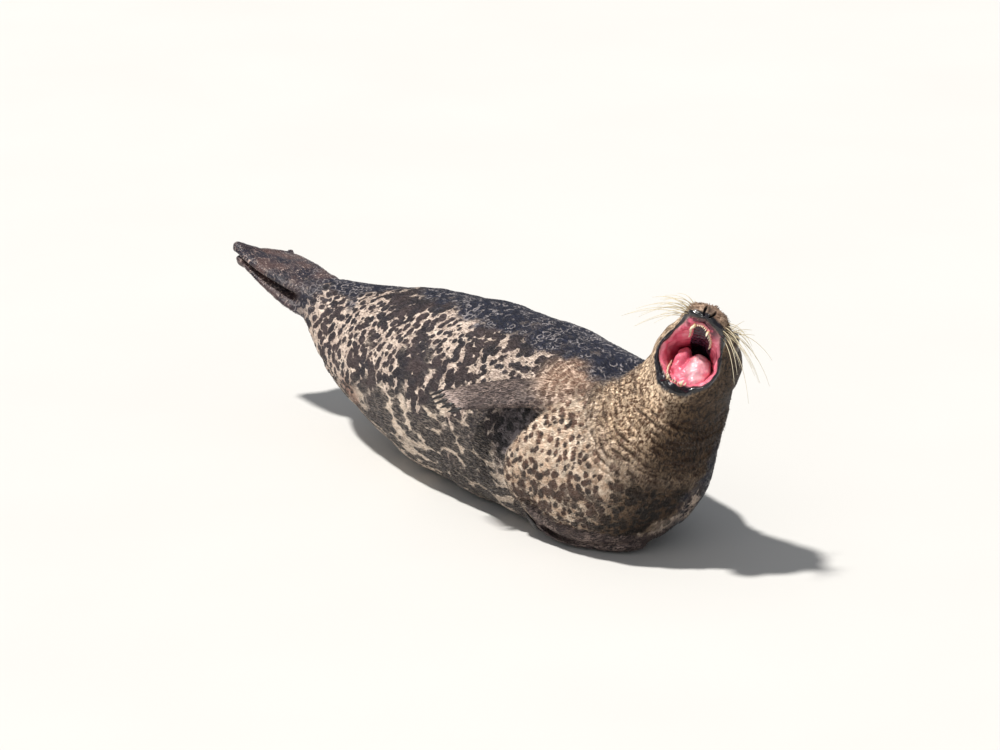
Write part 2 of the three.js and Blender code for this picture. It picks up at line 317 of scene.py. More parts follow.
def spine_line(marks, steps=24):
    """Points on a smooth curve through the marks, with the mark number of each."""
    m = np.array([2 * marks[0] - marks[1]] + list(marks) + [2 * marks[-1] - marks[-2]])
    points, at = [], []
    for i in range(len(marks) - 1):
        p0, p1, p2, p3 = m[i], m[i + 1], m[i + 2], m[i + 3]
        for t in np.arange(steps) / steps:
            points.append(
                0.5 * (2 * p1 + (p2 - p0) * t + (2 * p0 - 5 * p1 + 4 * p2 - p3) * t**2
                       + (3 * p1 - p0 - 3 * p2 + p3) * t**3)
            )
            at.append(i + t)
    return np.array(points), np.array(at)


spine, spine_at = spine_line(spine_marks)
spine_way = unit(np.gradient(spine, axis=0))
BLOCK = 20_000  # points that are compared with the spine at a time


class Places:
    """Where points lie on the animal: along the spine, round it, and in the head."""

    def __init__(self, points):
        self.points = points
        nearest = np.empty(len(points), int)
        for start in range(0, len(points), BLOCK):
            block = points[start:start + BLOCK]
            far = ((block[:, None, :] - spine[None]) ** 2).sum(2)
            nearest[start:start + BLOCK] = far.argmin(1)
        self.along = spine_at[nearest]  # 0 at the tail tip, 1 tail, 2 rump ... 5 neck, 6 joint
        self.way = spine_way[nearest]
        turned = ease(self.along, 3.6, 5.6)[:, None]
        back = unit(TRUNK_BACK * (1 - turned) + head_up * turned)
        back = unit(back - self.way * dot(back, self.way)[:, None])
        out = points - spine[nearest]
        out -= self.way * dot(out, self.way)[:, None]
        out = unit(out)
        self.dorsal = dot(out, back)  # 1 on the back
        self.flank = dot(out, np.cross(self.way, back))  # 1 on the right side
        self.ahead, self.up, self.side = upper_jaw.of(points)
        self.gape_up = open_mouth.of(points)[1]
        self.low_ahead, self.low_up, _ = lower_jaw.of(points)
        self.from_joint = np.linalg.norm(points - jaw_joint, axis=1)

    def near(self, ahead, side, up, widths):
        """1 at a place in the head, in millimetres, and less away from it on three axes."""
        a = (self.ahead - ahead) / widths[0]
        b = (self.side - side) / widths[1]
        c = (self.up - up) / widths[2]
        return np.exp(-(a**2) - b**2 - c**2)


# ---- skin ----------------------------------------------------------------------------------
VOXEL = 2.2 * MM
SKIN_FACES = 186_000
DETAIL = 1e-5  # weighs an edge's length against the shape it keeps
LID = {"thick": 3.2 * MM, "long": 47, "high": 35}  # the opening's half angles, in degrees
# A lid's rings, from inside the edge round to the back: share of the way out, share of its radius.
LID_RINGS = [(0, 0.6), (0, 0.96), (0.04, 1.0), (0.3, 1.0), (0.6, 0.97), (1, 0.8), (1, 0.4)]


def eye_axes(side):
    """The way an eye looks, and the two ways along and across its opening."""
    look = unit(head_right * SIDES[side] * 0.8 + head_ahead * 0.42 + head_up * 0.42)
    along = unit(head_ahead - look * dot(head_ahead, look))
    return look, along, np.cross(look, along)


def eyelids(side):
    """A thick bowl round the eye with an almond opening, to be fused with the head."""
    look, along, across = eye_axes(side)
    points, around = [], 40
    for share, radius in LID_RINGS:
        for k in range(around):
            a = 2 * math.pi * k / around
            opening = 1 / math.hypot(math.cos(a) / LID["long"], math.sin(a) / LID["high"])
            tilt = math.radians(opening * (1 - share) + 100 * share)
            round_it = along * math.cos(a) + across * math.sin(a)
            ray = look * math.cos(tilt) + math.sin(tilt) * round_it
            points.append(eye_at[side] + ray * (EYE_RADIUS + LID["thick"]) * radius)
    faces = ring_faces(len(LID_RINGS), around, closed=True)
    return outward(new_object(f"{side}_lids", points, faces))


def ball(centre, way, long, wide):
    """An egg of flesh along a way."""
    side = unit(np.cross(way, [0.31, 0.74, 0.6]))
    third = np.cross(way, side)
    points, around, rings = [], 14, 9
    for i in range(1, rings):
        tilt = math.pi * i / rings
        for k in range(around):
            a = 2 * math.pi * k / around
            ring = (side * math.cos(a) + third * math.sin(a)) * math.sin(tilt) * wide
            points.append(centre + way * math.cos(tilt) * long + ring)
    return outward(new_object("ball", points, ring_faces(rings - 1, around)))


def limb_lines(name):
    """For a flipper, its root and the five places of its claws."""
    claws = np.array([middle_of(claw) for claw in CLAWS[name]])
    centre = middle_of(name)
    return centre + (centre - claws.mean(0)) * 0.95, claws


def claw_line(name, claw):
    """A claw's root, its tip and its half width, from its solid."""
    p = points_of(bpy.data.objects[claw].data)
    root = limb_lines(name)[0]
    far = np.linalg.norm(p - root, axis=1)
    share = (far - far.min()) / (far.max() - far.min())
    base = p[share < 0.25].mean(0)
    tip = p[far.argmax()]
    return base, tip, np.linalg.norm(p[share < 0.3] - base, axis=1).max()


def smooth_line(marks, count):
    """A smooth curve through marks, at even shares of its length."""
    line, _ = spine_line([np.array(m, float) for m in marks], 20)
    line = np.vstack([line, marks[-1]])
    far = np.concatenate([[0], np.cumsum(np.linalg.norm(np.diff(line, axis=0), axis=1))])
    want = np.linspace(0, far[-1], count)
    return np.stack([np.interp(want, far, line[:, i]) for i in range(line.shape[1])], 1)


ASKEW = np.array([0.2, 0.5, 0.84])  # a way that no tube here runs along


def tube(path, radii, name, around=8, flat=1.0, up=None):
    """A closed tube along a path, with a radius for each point."""
    path, radii = np.asarray(path), np.asarray(radii)
    way = unit(np.gradient(path, axis=0))
    side = unit(np.cross(way, up if up is not None else ASKEW))
    third = np.cross(way, side)
    a = 2 * math.pi * np.arange(around) / around
    ring = side[:, None] * np.cos(a)[None, :, None]
    ring = ring + flat * third[:, None] * np.sin(a)[None, :, None]
    points = (path[:, None] + ring * radii[:, None, None]).reshape(-1, 3)
    rings = len(path)
    made = new_object(name, points, ring_faces(rings, around, swapped=True))
    paint_number(made.data, "high", np.repeat(np.linspace(0, 1, rings), around))
    return made


WEB_EDGE = np.array([1, 10, 13, 9, -8])  # millimetres past the claws' roots, near to far digit


def digit_ends():
    """The flesh at the ends of the digits, which holds the roots of the claws."""
    ends = []
    for name in FLIPPERS:
        for claw in CLAWS[name]:
            base, tip, wide = claw_line(name, claw)
            way = unit(tip - base)
            ends.append(ball(base - way * 4 * MM, way, 9 * MM, wide * 0.62 + 1.9 * MM))
    # the web's soft edge between the hind digits: three rims, one inside the other
    for name in FLIPPERS[2:]:
        lines = [claw_line(name, claw) for claw in CLAWS[name]]
        lines.sort(key=lambda line: line[0][1])
        last = lines[0][0]
        for share in (0.0, 0.5, 1.0):
            past = WEB_EDGE * share * MM
            marks = [base + unit(tip - base) * out for (base, tip, _), out in zip(lines, past)]
            path = smooth_line(marks, 50)
            far = np.linalg.norm(path - last, axis=1)
            thick = 2.5 + 3.0 * ease(far, 0.07, 0.0) + 2.5 * ease(far, far.max(), far.max() - 0.05)
            rim = tube(path, thick * MM, "rim", around=12)
            rim.data.attributes.remove(rim.data.attributes["high"])
            ends.append(outward(rim))
        way = unit(last - limb_lines(name)[0])
        ends.append(ball(last - way * 7 * MM, way, 15 * MM, 7 * MM))
    return ends


def largest_part(o):
    """Keeps the biggest of an object's loose parts."""
    with editing(o):
        bpy.ops.mesh.separate(type="LOOSE")
    parts = sorted(bpy.context.selected_objects, key=lambda part: -len(part.data.vertices))
    for part in parts[1:]:
        bpy.data.objects.remove(part, do_unlink=True)
    return parts[0]


def near_flippers(points):
    """1 on each flipper, 0 elsewhere, as one column for each flipper."""
    masks = []
    for name in FLIPPERS:
        tree = tree_of(bpy.data.objects[name].data)
        low, high = box_of(name)
        mask = np.zeros(len(points))
        far = (10 if "hind" in name else 3) * MM
        close = np.all((points > low - far) & (points < high + far), axis=1).nonzero()[0]
        for i in close:
            mask[i] = tree.find_nearest(Vector(points[i]), far)[0] is not None
        masks.append(mask)
    return np.stack(masks, 1)


def mouth_inside(points, normals):
    """1 on the walls of the open mouth, whose faces look at its middle line."""
    ahead, up, side = open_mouth.of(points)
    radial = np.stack([up, side], 1)
    length = np.linalg.norm(radial, axis=1)
    inward = -(dot(normals, open_mouth.up[None]) * up + dot(normals, head_right[None]) * side)
    inward /= np.maximum(length, 1e-6)
    facing = (inward > 0.12) | ((length < 34) & (ahead < 10))
    return (facing & (length < 84) & (ahead > -60) & (ahead < 118)).astype(float)


def make_skin():
    """The solids of flesh, with lids and digit ends, fused into one closed skin of fine mesh."""
    body = copy_of(FLESH, "skin")
    p, n = points_of(body.data), points_of(body.data, "normal")
    move_points(body.data, p + n * 0.45 * MM)  # closes the cuts between the solids
    skin = joined([body] + [eyelids(side) for side in SIDES] + digit_ends(), "skin")
    modified(skin, "REMESH", mode="VOXEL", voxel_size=VOXEL, use_smooth_shade=True)
    return largest_part(skin)


# ---- the skin's form -------------------------------------------------------------------------
COAT_DEPTH = 2.4  # millimetres that the skin lies inside the solids where it bears fur
SHOULDER = np.array([0.425, 0.0, 0.285])  # the raised right shoulder, in metres as the next is
SHOULDER_TOP = np.array([0.41, -0.05, 0.30])
TUCKED_FACE = np.array([0.82, -0.48, 0.0])  # the way the tucked left foreflipper's side looks
NOSTRIL = {"side": 5.5, "spread": 4.0, "bow": 1.6, "low": -10, "high": 9}


def digit_ridges(points, name):
    """From 0 between a flipper's digits to 1 along them, with the share of the way to the tips."""
    root, claws = limb_lines(name)
    way = unit(claws - root)
    v = points - root
    length = np.linalg.norm(v, axis=1)
    v = v / np.maximum(length, 1e-6)[:, None]
    close = (v @ way.T).max(1)
    spread = np.arccos(np.clip(unit(claws[0] - root) @ unit(claws[-1] - root), -1, 1)) / 8
    reach = length / np.linalg.norm(claws - root, axis=1).mean()
    return np.exp(-(np.arccos(np.clip(close, -1, 1)) / spread) ** 2), reach


THROAT = Ripple(0.09), Ripple(0.03), Ripple(0.04)
STEP = {"throat": 0.0145, "neck": 0.046, "nape": 0.05, "shoulder": 0.014}  # metres between folds


def throat_rings(points):
    """The folds round the throat: fine ones from -1 to 1, and how strong each stretch is."""
    ring = np.linalg.norm(points - jaw_joint, axis=1)
    ring = ring + 0.0032 * THROAT[0](points) + 0.0008 * THROAT[1](points)
    strong = np.clip(0.6 + 0.55 * THROAT[2](points), 0, 1.6)
    return np.sin(2 * math.pi * ring / STEP["throat"]), strong, ring


def past_lids(points, side):
    """Millimetres from an eye's middle, and the degrees that points lie past its lids' edge."""
    look, along, across = eye_axes(side)
    v = points - eye_at[side]
    far = np.linalg.norm(v, axis=1)
    tilt = np.degrees(np.arccos(np.clip(v @ look / np.maximum(far, 1e-9), -1, 1)))
    a = np.arctan2(v @ across, v @ along)
    return far / MM, tilt - 1 / np.hypot(np.cos(a) / LID["long"], np.sin(a) / LID["high"])


def tucked_down(points):
    """How far points lie below the upper edge of the tucked left foreflipper, in metres."""
    x = points[:, 0]
    return 0.082 - 0.34 * (x - 0.345) + 0.55 * np.maximum(x - 0.42, 0) ** 1.5 - points[:, 2]


def past_chest_edge(points):
    """How far points lie ahead of the edge where the chest folds over the belly, in metres."""
    return points[:, 0] - (0.30 + 0.09 * ((points[:, 2] - 0.11) / 0.17) ** 2)


def form(at, normals, masks):
    """How far each point of the skin moves out, in millimetres."""
    p = at.points
    lids = [past_lids(p, side) for side in SIDES]
    round_eyes = sum(ease(far, 30, 23) for far, past in lids)
    furry = 1 - np.clip(masks["mouth"] * 1.6 + masks["limbs"] * 0.75 + round_eyes, 0, 1)
    out = -COAT_DEPTH * furry - 0.3 * masks["limbs"] - 0.4 * round_eyes
    trunk = ease(at.from_joint, 0.15, 0.24) * (1 - masks["limbs"])

    # fat and muscle under the skin
    out += trunk * (1.7 * Ripple(0.16)(p) + 0.5 * Ripple(0.05)(p))
    # folds round the throat, fine under the jaw and broader down the neck
    neck = ease(at.from_joint, 0.10, 0.125) * ease(at.from_joint, 0.34, 0.22)
    neck *= (1 - masks["mouth"]) * (1 - 0.65 * ease(at.dorsal, -0.1, 0.5))
    fine, broken, ring = throat_rings(p)
    out += neck * 2.1 * fine * broken
    out += neck * 2.0 * np.sin(2 * math.pi * ring / STEP["neck"])
    nape = ease(at.from_joint, 0.11, 0.15) * ease(at.from_joint, 0.36, 0.24)
    nape *= ease(at.dorsal, 0.1, 0.7)
    out += nape * 1.8 * np.sin(2 * math.pi * ring / STEP["nape"]) * broken
    # stretch lines that run round the raised shoulder
    reach = np.linalg.norm(p - SHOULDER, axis=1) + 0.008 * Ripple(0.06)(p)
    lines = hump(reach, 0.115, 0.045) * ease(p[:, 2], 0.25, 0.29) * trunk
    lines *= ease(p[:, 1], 0.08, 0.0) * np.clip(0.4 + 0.7 * Ripple(0.05)(p), 0, 1.5)
    out += lines * np.sin(2 * math.pi * reach / STEP["shoulder"])
    # the chest's edge, where it folds over the belly
    fold = past_chest_edge(p)
    front = ease(-normals[:, 1], 0.15, 0.6) * ease(p[:, 2], 0.02, 0.07) * trunk
    out += front * (4.0 * hump(fold, 0.032, 0.028) - 5.0 * hump(fold, 0, 0.009))
    # the left foreflipper, tucked under the chest's lower edge
    out += 7.5 * masks["tucked"] * hump(tucked_down(p), 0.020, 0.014)
    out -= 10.0 * masks["by_tucked"] * hump(tucked_down(p), -0.004, 0.007)
    # small lengthways wrinkles behind the ribs, where the body bends up
    rear = ease(at.along, 2.6, 1.6) * trunk
    turn = np.arctan2(at.flank, at.dorsal)
    out += rear * 1.1 * np.sin(turn * 26 + 1.5 * Ripple(0.12)(p)) * ease(-at.dorsal, -0.4, 0.3)

    # the face: pads of the whiskers, brow, ears, snout and chin
    for s in SIDES.values():
        pad = at.near(119, s * 24, 1, (16, 14, 17))
        rows = np.sin((at.up - 0.35 * at.ahead) * 2 * math.pi / 5.5)
        out += 4.2 * pad + 0.55 * pad * rows * (masks["mouth"] < 0.2)
        out += 2.4 * at.near(50, s * 37, 57, (16, 12, 10))
        out -= 5 * at.near(8, s * 72, 24, (4, 14, 4))  # the ear's hole, and its rim
        out += 1.4 * at.near(8, s * 72, 24, (9, 14, 9))
    for far, past in lids:
        close = ease(far, 26, 22)
        out += close * (0.8 * hump(past, 5, 5) - 1.1 * hump(past, 15, 3.5))
    snout = hump(at.ahead, 141, 12) * hump(at.side, 0, 20) * ease(at.up, -14, -4)
    out += 2.2 * snout
    out -= 1.8 * hump(at.ahead, 138, 16) * hump(at.side, 0, 1.8) * ease(at.up, 14, 4)
    out += 1.2 * hump(at.ahead, 128, 18) * hump(at.side, 0, 15) * ease(at.up, 12, 20)
    chin = hump(at.low_ahead, 112, 16) * hump(at.side, 0, 20) * ease(at.low_up, 0, -14)
    out += 2.5 * chin
    # lips: a full, rounded rim
    out += 2.6 * masks["lips"] + 0.5 * masks["lips"] * Ripple(0.011)(p)
    # ridges across the vault of the palate, and a groove along its middle
    vault = masks["palate"]
    out += vault * 1.6 * np.sin(2 * math.pi * (at.ahead + 0.25 * np.abs(at.side)) / 9)
    out -= vault * 1.2 * hump(at.side, 0, 2.5)
    # soft folds of the cheeks' lining
    lining = masks["mouth"] * (1 - vault)
    out += lining * 0.8 * Ripple(0.022)(p)
    out += lining * 4.0 * ease(at.from_joint, 0.022, 0.045) * ease(masks["rim"], 0.8, 0.96)

    # flippers: digits, with webs between them, and knuckles
    for i, name in enumerate(FLIPPERS):
        ridge, reach = digit_ridges(p, name)
        near = masks["flippers"][:, i]
        deep = 1.3 if "hind" in name else 2.4
        tip = ease(reach, 0.35, 0.75)
        out += near * tip * deep * (ridge - 0.55)
        out += near * ridge * 0.7 * np.cos(reach * 2 * math.pi / 0.28) * tip
        out += near * 0.15 * Ripple(0.014)(p)
        if "hind" in name:
            inwards = unit(middle_of(FLIPPERS[5 - i]) - middle_of(name))
            inner = ease(normals @ inwards, 0.1, 0.7) * ease(reach, 0.3, 0.7)
            roots = np.stack([claw_line(name, claw)[0] for claw in CLAWS[name]])
            last = roots[roots[:, 1].argmax()]
            thick = 3.0 * ease(reach, 0.05, 0.4) + 3.5 * inner
            out += near * thick * ease(np.linalg.norm(p - last, axis=1), 0.020, 0.065)
    return out


def wide_gape(at, masks):
    """How far the lips' corners are drawn to the sides."""
    corner = hump(at.ahead, 72, 20) * hump(np.abs(at.side), 33, 17) * hump(at.up, -10, 24)
    reach = 13 * MM * corner * ease(masks["rim"], 0.03, 0.45)
    return np.outer(np.sign(at.side) * ease(np.abs(at.side), 0, 12) * reach, head_right)


def nostril_shape(points):
    """The nostrils' slits, from 0 to 1, and the raised rims beside them."""
    ahead, up, side = upper_jaw.of(points)
    slit = rim = 0
    for s in SIDES.values():
        high = (up - NOSTRIL["low"]) / (NOSTRIL["high"] - NOSTRIL["low"])
        bow = 1 - (2 * high - 1) ** 2
        across = side - s * (NOSTRIL["side"] + NOSTRIL["spread"] * high + NOSTRIL["bow"] * bow)
        wide = 1.3 + 1.0 * np.clip(bow, 0, 1)
        inside = ease(high, -0.12, 0.1) * ease(high, 1.12, 0.9) * ease(ahead, 118, 128)
        slit = slit + inside * np.exp(-((across / wide) ** 4))
        rim = rim + inside * np.exp(-(((np.abs(across) - 3.6) / 1.8) ** 2))
    return slit, rim


def carve_nostrils(skin):
    """Finer skin on the nose, with two deep slits that curve back."""
    mesh = skin.data
    for half in (24, 16):
        ahead, up, side = upper_jaw.of(points_of(mesh))
        near = (np.abs(ahead - 138) < half) & (np.abs(side) < half) & (np.abs(up) < half)
        with editing(skin):
            bpy.ops.mesh.select_mode(type="VERT")
            bpy.ops.mesh.select_all(action="DESELECT")
        mesh.vertices.foreach_set("select", near)
        bpy.ops.object.mode_set(mode="EDIT")
        bpy.ops.mesh.subdivide(number_cuts=1, smoothness=0)
        bpy.ops.object.mode_set(mode="OBJECT")
    points = points_of(mesh)
    slit, rim = nostril_shape(points)
    inwards = -unit(head_ahead * 0.9 + head_up * 0.3)
    normals = points_of(mesh, "normal")
    moved = points + slit[:, None] * inwards * 7 * MM + (rim * 0.9 * MM)[:, None] * normals
    move_points(mesh, moved)
    return slit


def skin_masks(net, at, normals):
    """What each point of the skin belongs to, from 0 to 1."""
    p = at.points
    mouth = net.smooth(mouth_inside(p, normals), 4, 0.7)
    spread = net.smooth(mouth, 28, 0.9)
    flippers = net.smooth(near_flippers(p), 14, 0.8)
    palate = mouth * ease(at.ahead, 14, 30) * hump(at.side, 0, 24) * ease(-at.up, -6, 2)
    palate *= ease(-(normals @ head_up), 0.1, 0.5)
    seen = ease(normals @ TUCKED_FACE, 0.0, 0.35) * ease(p[:, 2], 0.004, 0.010)
    seen = seen * ease(p[:, 0], 0.335, 0.365) * ease(p[:, 0], 0.545, 0.515) * (1 - mouth)
    tucked = seen * ease(tucked_down(p), -0.001, 0.004)
    return {
        "tucked": tucked,
        "by_tucked": seen,
        "mouth": mouth,
        "lips": np.clip(spread * (1 - mouth) * 3.2, 0, 1),
        "rim": net.smooth(mouth, 42, 0.95),
        "palate": palate,
        "flippers": flippers,
        "limbs": np.clip(flippers.sum(1), 0, 1),
    }


def weights(o, name, values, levels=24):
    """A vertex group with values from 0 to 1, in a few levels."""
    group = o.vertex_groups.new(name=name)
    level = np.round(np.clip(values, 0, 1) * levels).astype(int)
    for step in range(1, levels + 1):
        group.add(np.nonzero(level == step)[0].tolist(), step / levels, "REPLACE")
    return name


def rounded_trunk(skin):
    """The skin's broad shape with no facets and no loss of girth, to wrap the trunk on."""
    select(skin)
    bpy.ops.object.duplicate()
    broad = bpy.context.active_object
    modified(broad, "REMESH", mode="VOXEL", voxel_size=11 * MM)
    net, points = Net(broad.data), points_of(broad.data)
    for _ in range(40):
        points = net.smooth(points, 1, 0.6)
        points = net.smooth(points, 1, -0.64)
    move_points(broad.data, points)
    return modified(broad, "SUBSURF", levels=1, render_levels=1)


def eased_facets(skin, net, at, masks):
    """Rounds the solids' facets off: much on the trunk, little on fine forms."""
    points = at.points
    reach = np.ones(len(points))
    for i, name in enumerate(FLIPPERS):
        on = masks["flippers"][:, i] > 0.02
        reach[on] = digit_ridges(points[on], name)[1]
    reach = net.smooth(reach, 4, 0.8)
    limbs = np.clip(net.smooth(masks["limbs"], 30, 0.9) * 3, 0, 1)
    broad = rounded_trunk(skin)
    weights(skin, "trunk", ease(at.from_joint, 0.15, 0.25) * (1 - limbs))
    modified(skin, "SHRINKWRAP", target=broad, wrap_method="NEAREST_SURFACEPOINT",
             vertex_group="trunk")
    bpy.data.objects.remove(broad, do_unlink=True)
    eyes = np.minimum(*(np.linalg.norm(points - eye_at[side], axis=1) for side in SIDES))
    share = 0.14 + 0.86 * ease(at.from_joint, 0.13, 0.24)
    limb = 0.04 + 0.96 * ease(reach, 0.62, 0.25)
    share = share * (1 - (1 - limb) * ease(masks["limbs"], 0.1, 0.6))
    share = np.minimum(share, 0.03 + 0.4 * ease(eyes, 0.022, 0.05))
    lip = np.clip(net.smooth(masks["mouth"], 20, 0.9) * 3, 0, 1)
    share = np.minimum(share, 1 - 0.9 * lip)
    weights(skin, "ease", net.smooth(share, 8, 0.8), 32)
    modified(skin, "SMOOTH", factor=1.0, iterations=210, vertex_group="ease")
    skin.vertex_groups.clear()


def kept_marks(mesh, names):
    """Reads the marks back from the mesh and takes them off it."""
    marks = {}
    for name in names:
        values = np.empty(len(mesh.vertices), np.float32)
        mesh.attributes[name].data.foreach_get("value", values)
        marks[name] = values.astype(float)
        mesh.attributes.remove(mesh.attributes[name])
    return marks


def shaped_skin():
    """The sculpted skin at its final fineness, with its marks."""
    skin = make_skin()
    net = Net(skin.data)
    at = Places(points_of(skin.data))
    eased_facets(skin, net, at, skin_masks(net, at, points_of(skin.data, "normal")))
    at, normals = Places(points_of(skin.data)), points_of(skin.data, "normal")
    masks = skin_masks(net, at, normals)
    points = at.points + normals * (form(at, normals, masks) * MM)[:, None]
    points = points + wide_gape(at, masks)
    points[:, 2] = np.maximum(points[:, 2], 0.3 * MM)
    move_points(skin.data, points)
    marks = {name: masks[name] for name in ("mouth", "rim", "palate", "limbs")}
    marks |= {name: masks["flippers"][:, i] for i, name in enumerate(FLIPPERS)}
    marks["limbs"] = np.clip(marks["limbs"] + masks["tucked"], 0, 1)
    for name, values in marks.items():
        paint_number(skin.data, name, values)
    paint_number(skin.data, "slit", carve_nostrils(skin))
    # The head and the flippers stay finer than the trunk.
    fine = ease(at.from_joint, 0.26, 0.15) + masks["limbs"]
    fine = np.concatenate([fine, np.ones(len(skin.data.vertices) - len(fine))])
    weights(skin, "plain", 0.7 - 0.32 * np.clip(fine, 0, 1))
    modified(skin, "DECIMATE", ratio=SKIN_FACES / (2 * len(skin.data.polygons)),
             vertex_group="plain", vertex_group_factor=DETAIL)
    skin.vertex_groups.clear()
    smooth_shaded(skin)
    return skin, kept_marks(skin.data, [*marks, "slit"])


# ---- markings: what each part of the skin carries, from 0 to 1 --------------------------------
def zones(points, marks):
    """Two sets of four: back, belly, gold, chest; and flipper, lip, mouth, palate."""
    at = Places(points)
    wander = 0.16 * Ripple(0.11)(points) + 0.07 * Ripple(0.035)(points)
    head = ease(at.from_joint, 0.29, 0.19)
    edge = -0.26 + 0.24 * ease(at.along, 2.6, 3.9)
    edge = edge + 0.3 * hump(at.along, 2.35, 0.3)
    back = ease(at.dorsal + 0.8 * wander, edge - 0.12, edge + 0.16)
    back = back * (1 - 0.75 * ease(at.from_joint, 0.24, 0.14))
    back = np.maximum(back, 0.6 * ease(at.along, 1.2, 0.5) * (1 - head))
    belly = ease(-at.dorsal + 0.5 * wander, 0.90, 1.0) * ease(at.along + wander, 2.4, 3.0)
    belly = np.maximum(belly, ease(-at.flank, 0.0, 0.3) * ease(-at.dorsal, 0.1, 0.5)) * (1 - head)
    chest = ease(past_chest_edge(points), -0.004, 0.010)
    chest = chest * ease(-at.dorsal + 0.5 * wander, 0.18, 0.40) * (1 - 0.8 * head)
    gold = np.clip(head + 0.25 * wander * hump(at.from_joint, 0.24, 0.08), 0, 1)
    gold = gold * (1 - 0.45 * ease(at.dorsal, 0.2, 0.8))
    lids = sum(ease(far, 26, 22) * ease(past, 9, 3)
               for far, past in (past_lids(points, side) for side in SIDES))
    nose = marks["slit"] + 0.75 * hump(at.ahead, 142, 8) * hump(at.side, 0, 12)
    nose = nose * hump(at.up, 0, 16)
    rim = marks["rim"]
    front = ease(at.low_ahead, 70, 95) * ease(at.gape_up, 0, -10)
    mouth = ease(rim, 0.72 + 0.16 * front, 0.84 + 0.14 * front)
    lip = ease(rim, 0.10, 0.24) * (1 - mouth)
    lip = np.clip(lip + lids + nose, 0, 1)
    # the vault over the tongue is nearly black, from behind the front teeth to the throat
    vault = ease(np.abs(at.side + 1), 25, 17) * ease(at.gape_up, -8, 4) * ease(at.ahead, 101, 90)
    shoulder = np.linalg.norm(points - SHOULDER_TOP, axis=1) + 0.1 * wander
    limb = ease(marks["limbs"], 0.15, 0.75) * ease(shoulder, 0.04, 0.12)
    rear = points[:, 0] + 0.12 * wander
    limb = limb * np.maximum(ease(rear, -0.45, -0.40), ease(rear, -0.50, -0.60))
    coat = np.stack([back, belly, gold, chest], 1)
    bare = np.stack([limb, lip, mouth, np.clip(vault, 0, 1) * mouth], 1)
    return np.clip(coat, 0, 1), np.clip(bare, 0, 1)


def fold_marks(points):
    """How far each point lies in a crease of the throat, from 0 on a ridge to 1."""
    fine, strong, _ = throat_rings(points)
    far = np.linalg.norm(points - jaw_joint, axis=1)
    neck = ease(far, 0.10, 0.125) * ease(far, 0.34, 0.22)
    return np.clip(neck * (0.5 - 0.5 * fine) * np.clip(strong, 0, 1), 0, 1)


# ---- materials ---------------------------------------------------------------------------------
def rgb(red, green, blue):
    """A colour from 0 to 255 as it is seen, for a socket."""
    parts = [c / 255 for c in (red, green, blue)]
    return tuple(c / 12.92 if c <= 0.04045 else ((c + 0.055) / 1.055) ** 2.4 for c in parts) + (1,)


class Value:
    """A socket's value inside a look; sums and products of values add Math nodes."""

    def __init__(self, look, socket):
        self.look, self.socket = look, socket

    def math(self, operation, *values):
        node = self.look.add("Math", {"operation": operation}, dict(enumerate(values)))
        return Value(self.look, node.outputs[0])

    def __add__(self, other):
        return self.math("ADD", self, other)

    def __sub__(self, other):
        return self.math("SUBTRACT", self, other)

    def __rsub__(self, other):
        return self.math("SUBTRACT", other, self)

    def __mul__(self, other):
        return self.math("MULTIPLY", self, other)

    __radd__ = __add__
    __rmul__ = __mul__

    def most(self, other):
        return self.math("MAXIMUM", self, other)

    def size(self):
        return self.math("ABSOLUTE", self)

    def sine(self):
        return self.math("SINE", self)

    def ease(self, low, high):
        """0 below low and 1 above high, smooth between; either end may itself be a value."""
        settings = {"interpolation_type": "SMOOTHSTEP"}
        if isinstance(low, Value) or isinstance(high, Value) or low < high:
            node = self.look.add("MapRange", settings, {0: self, 1: low, 2: high})
            return Value(self.look, node.outputs[0])
        return 1 - self.ease(high, low)


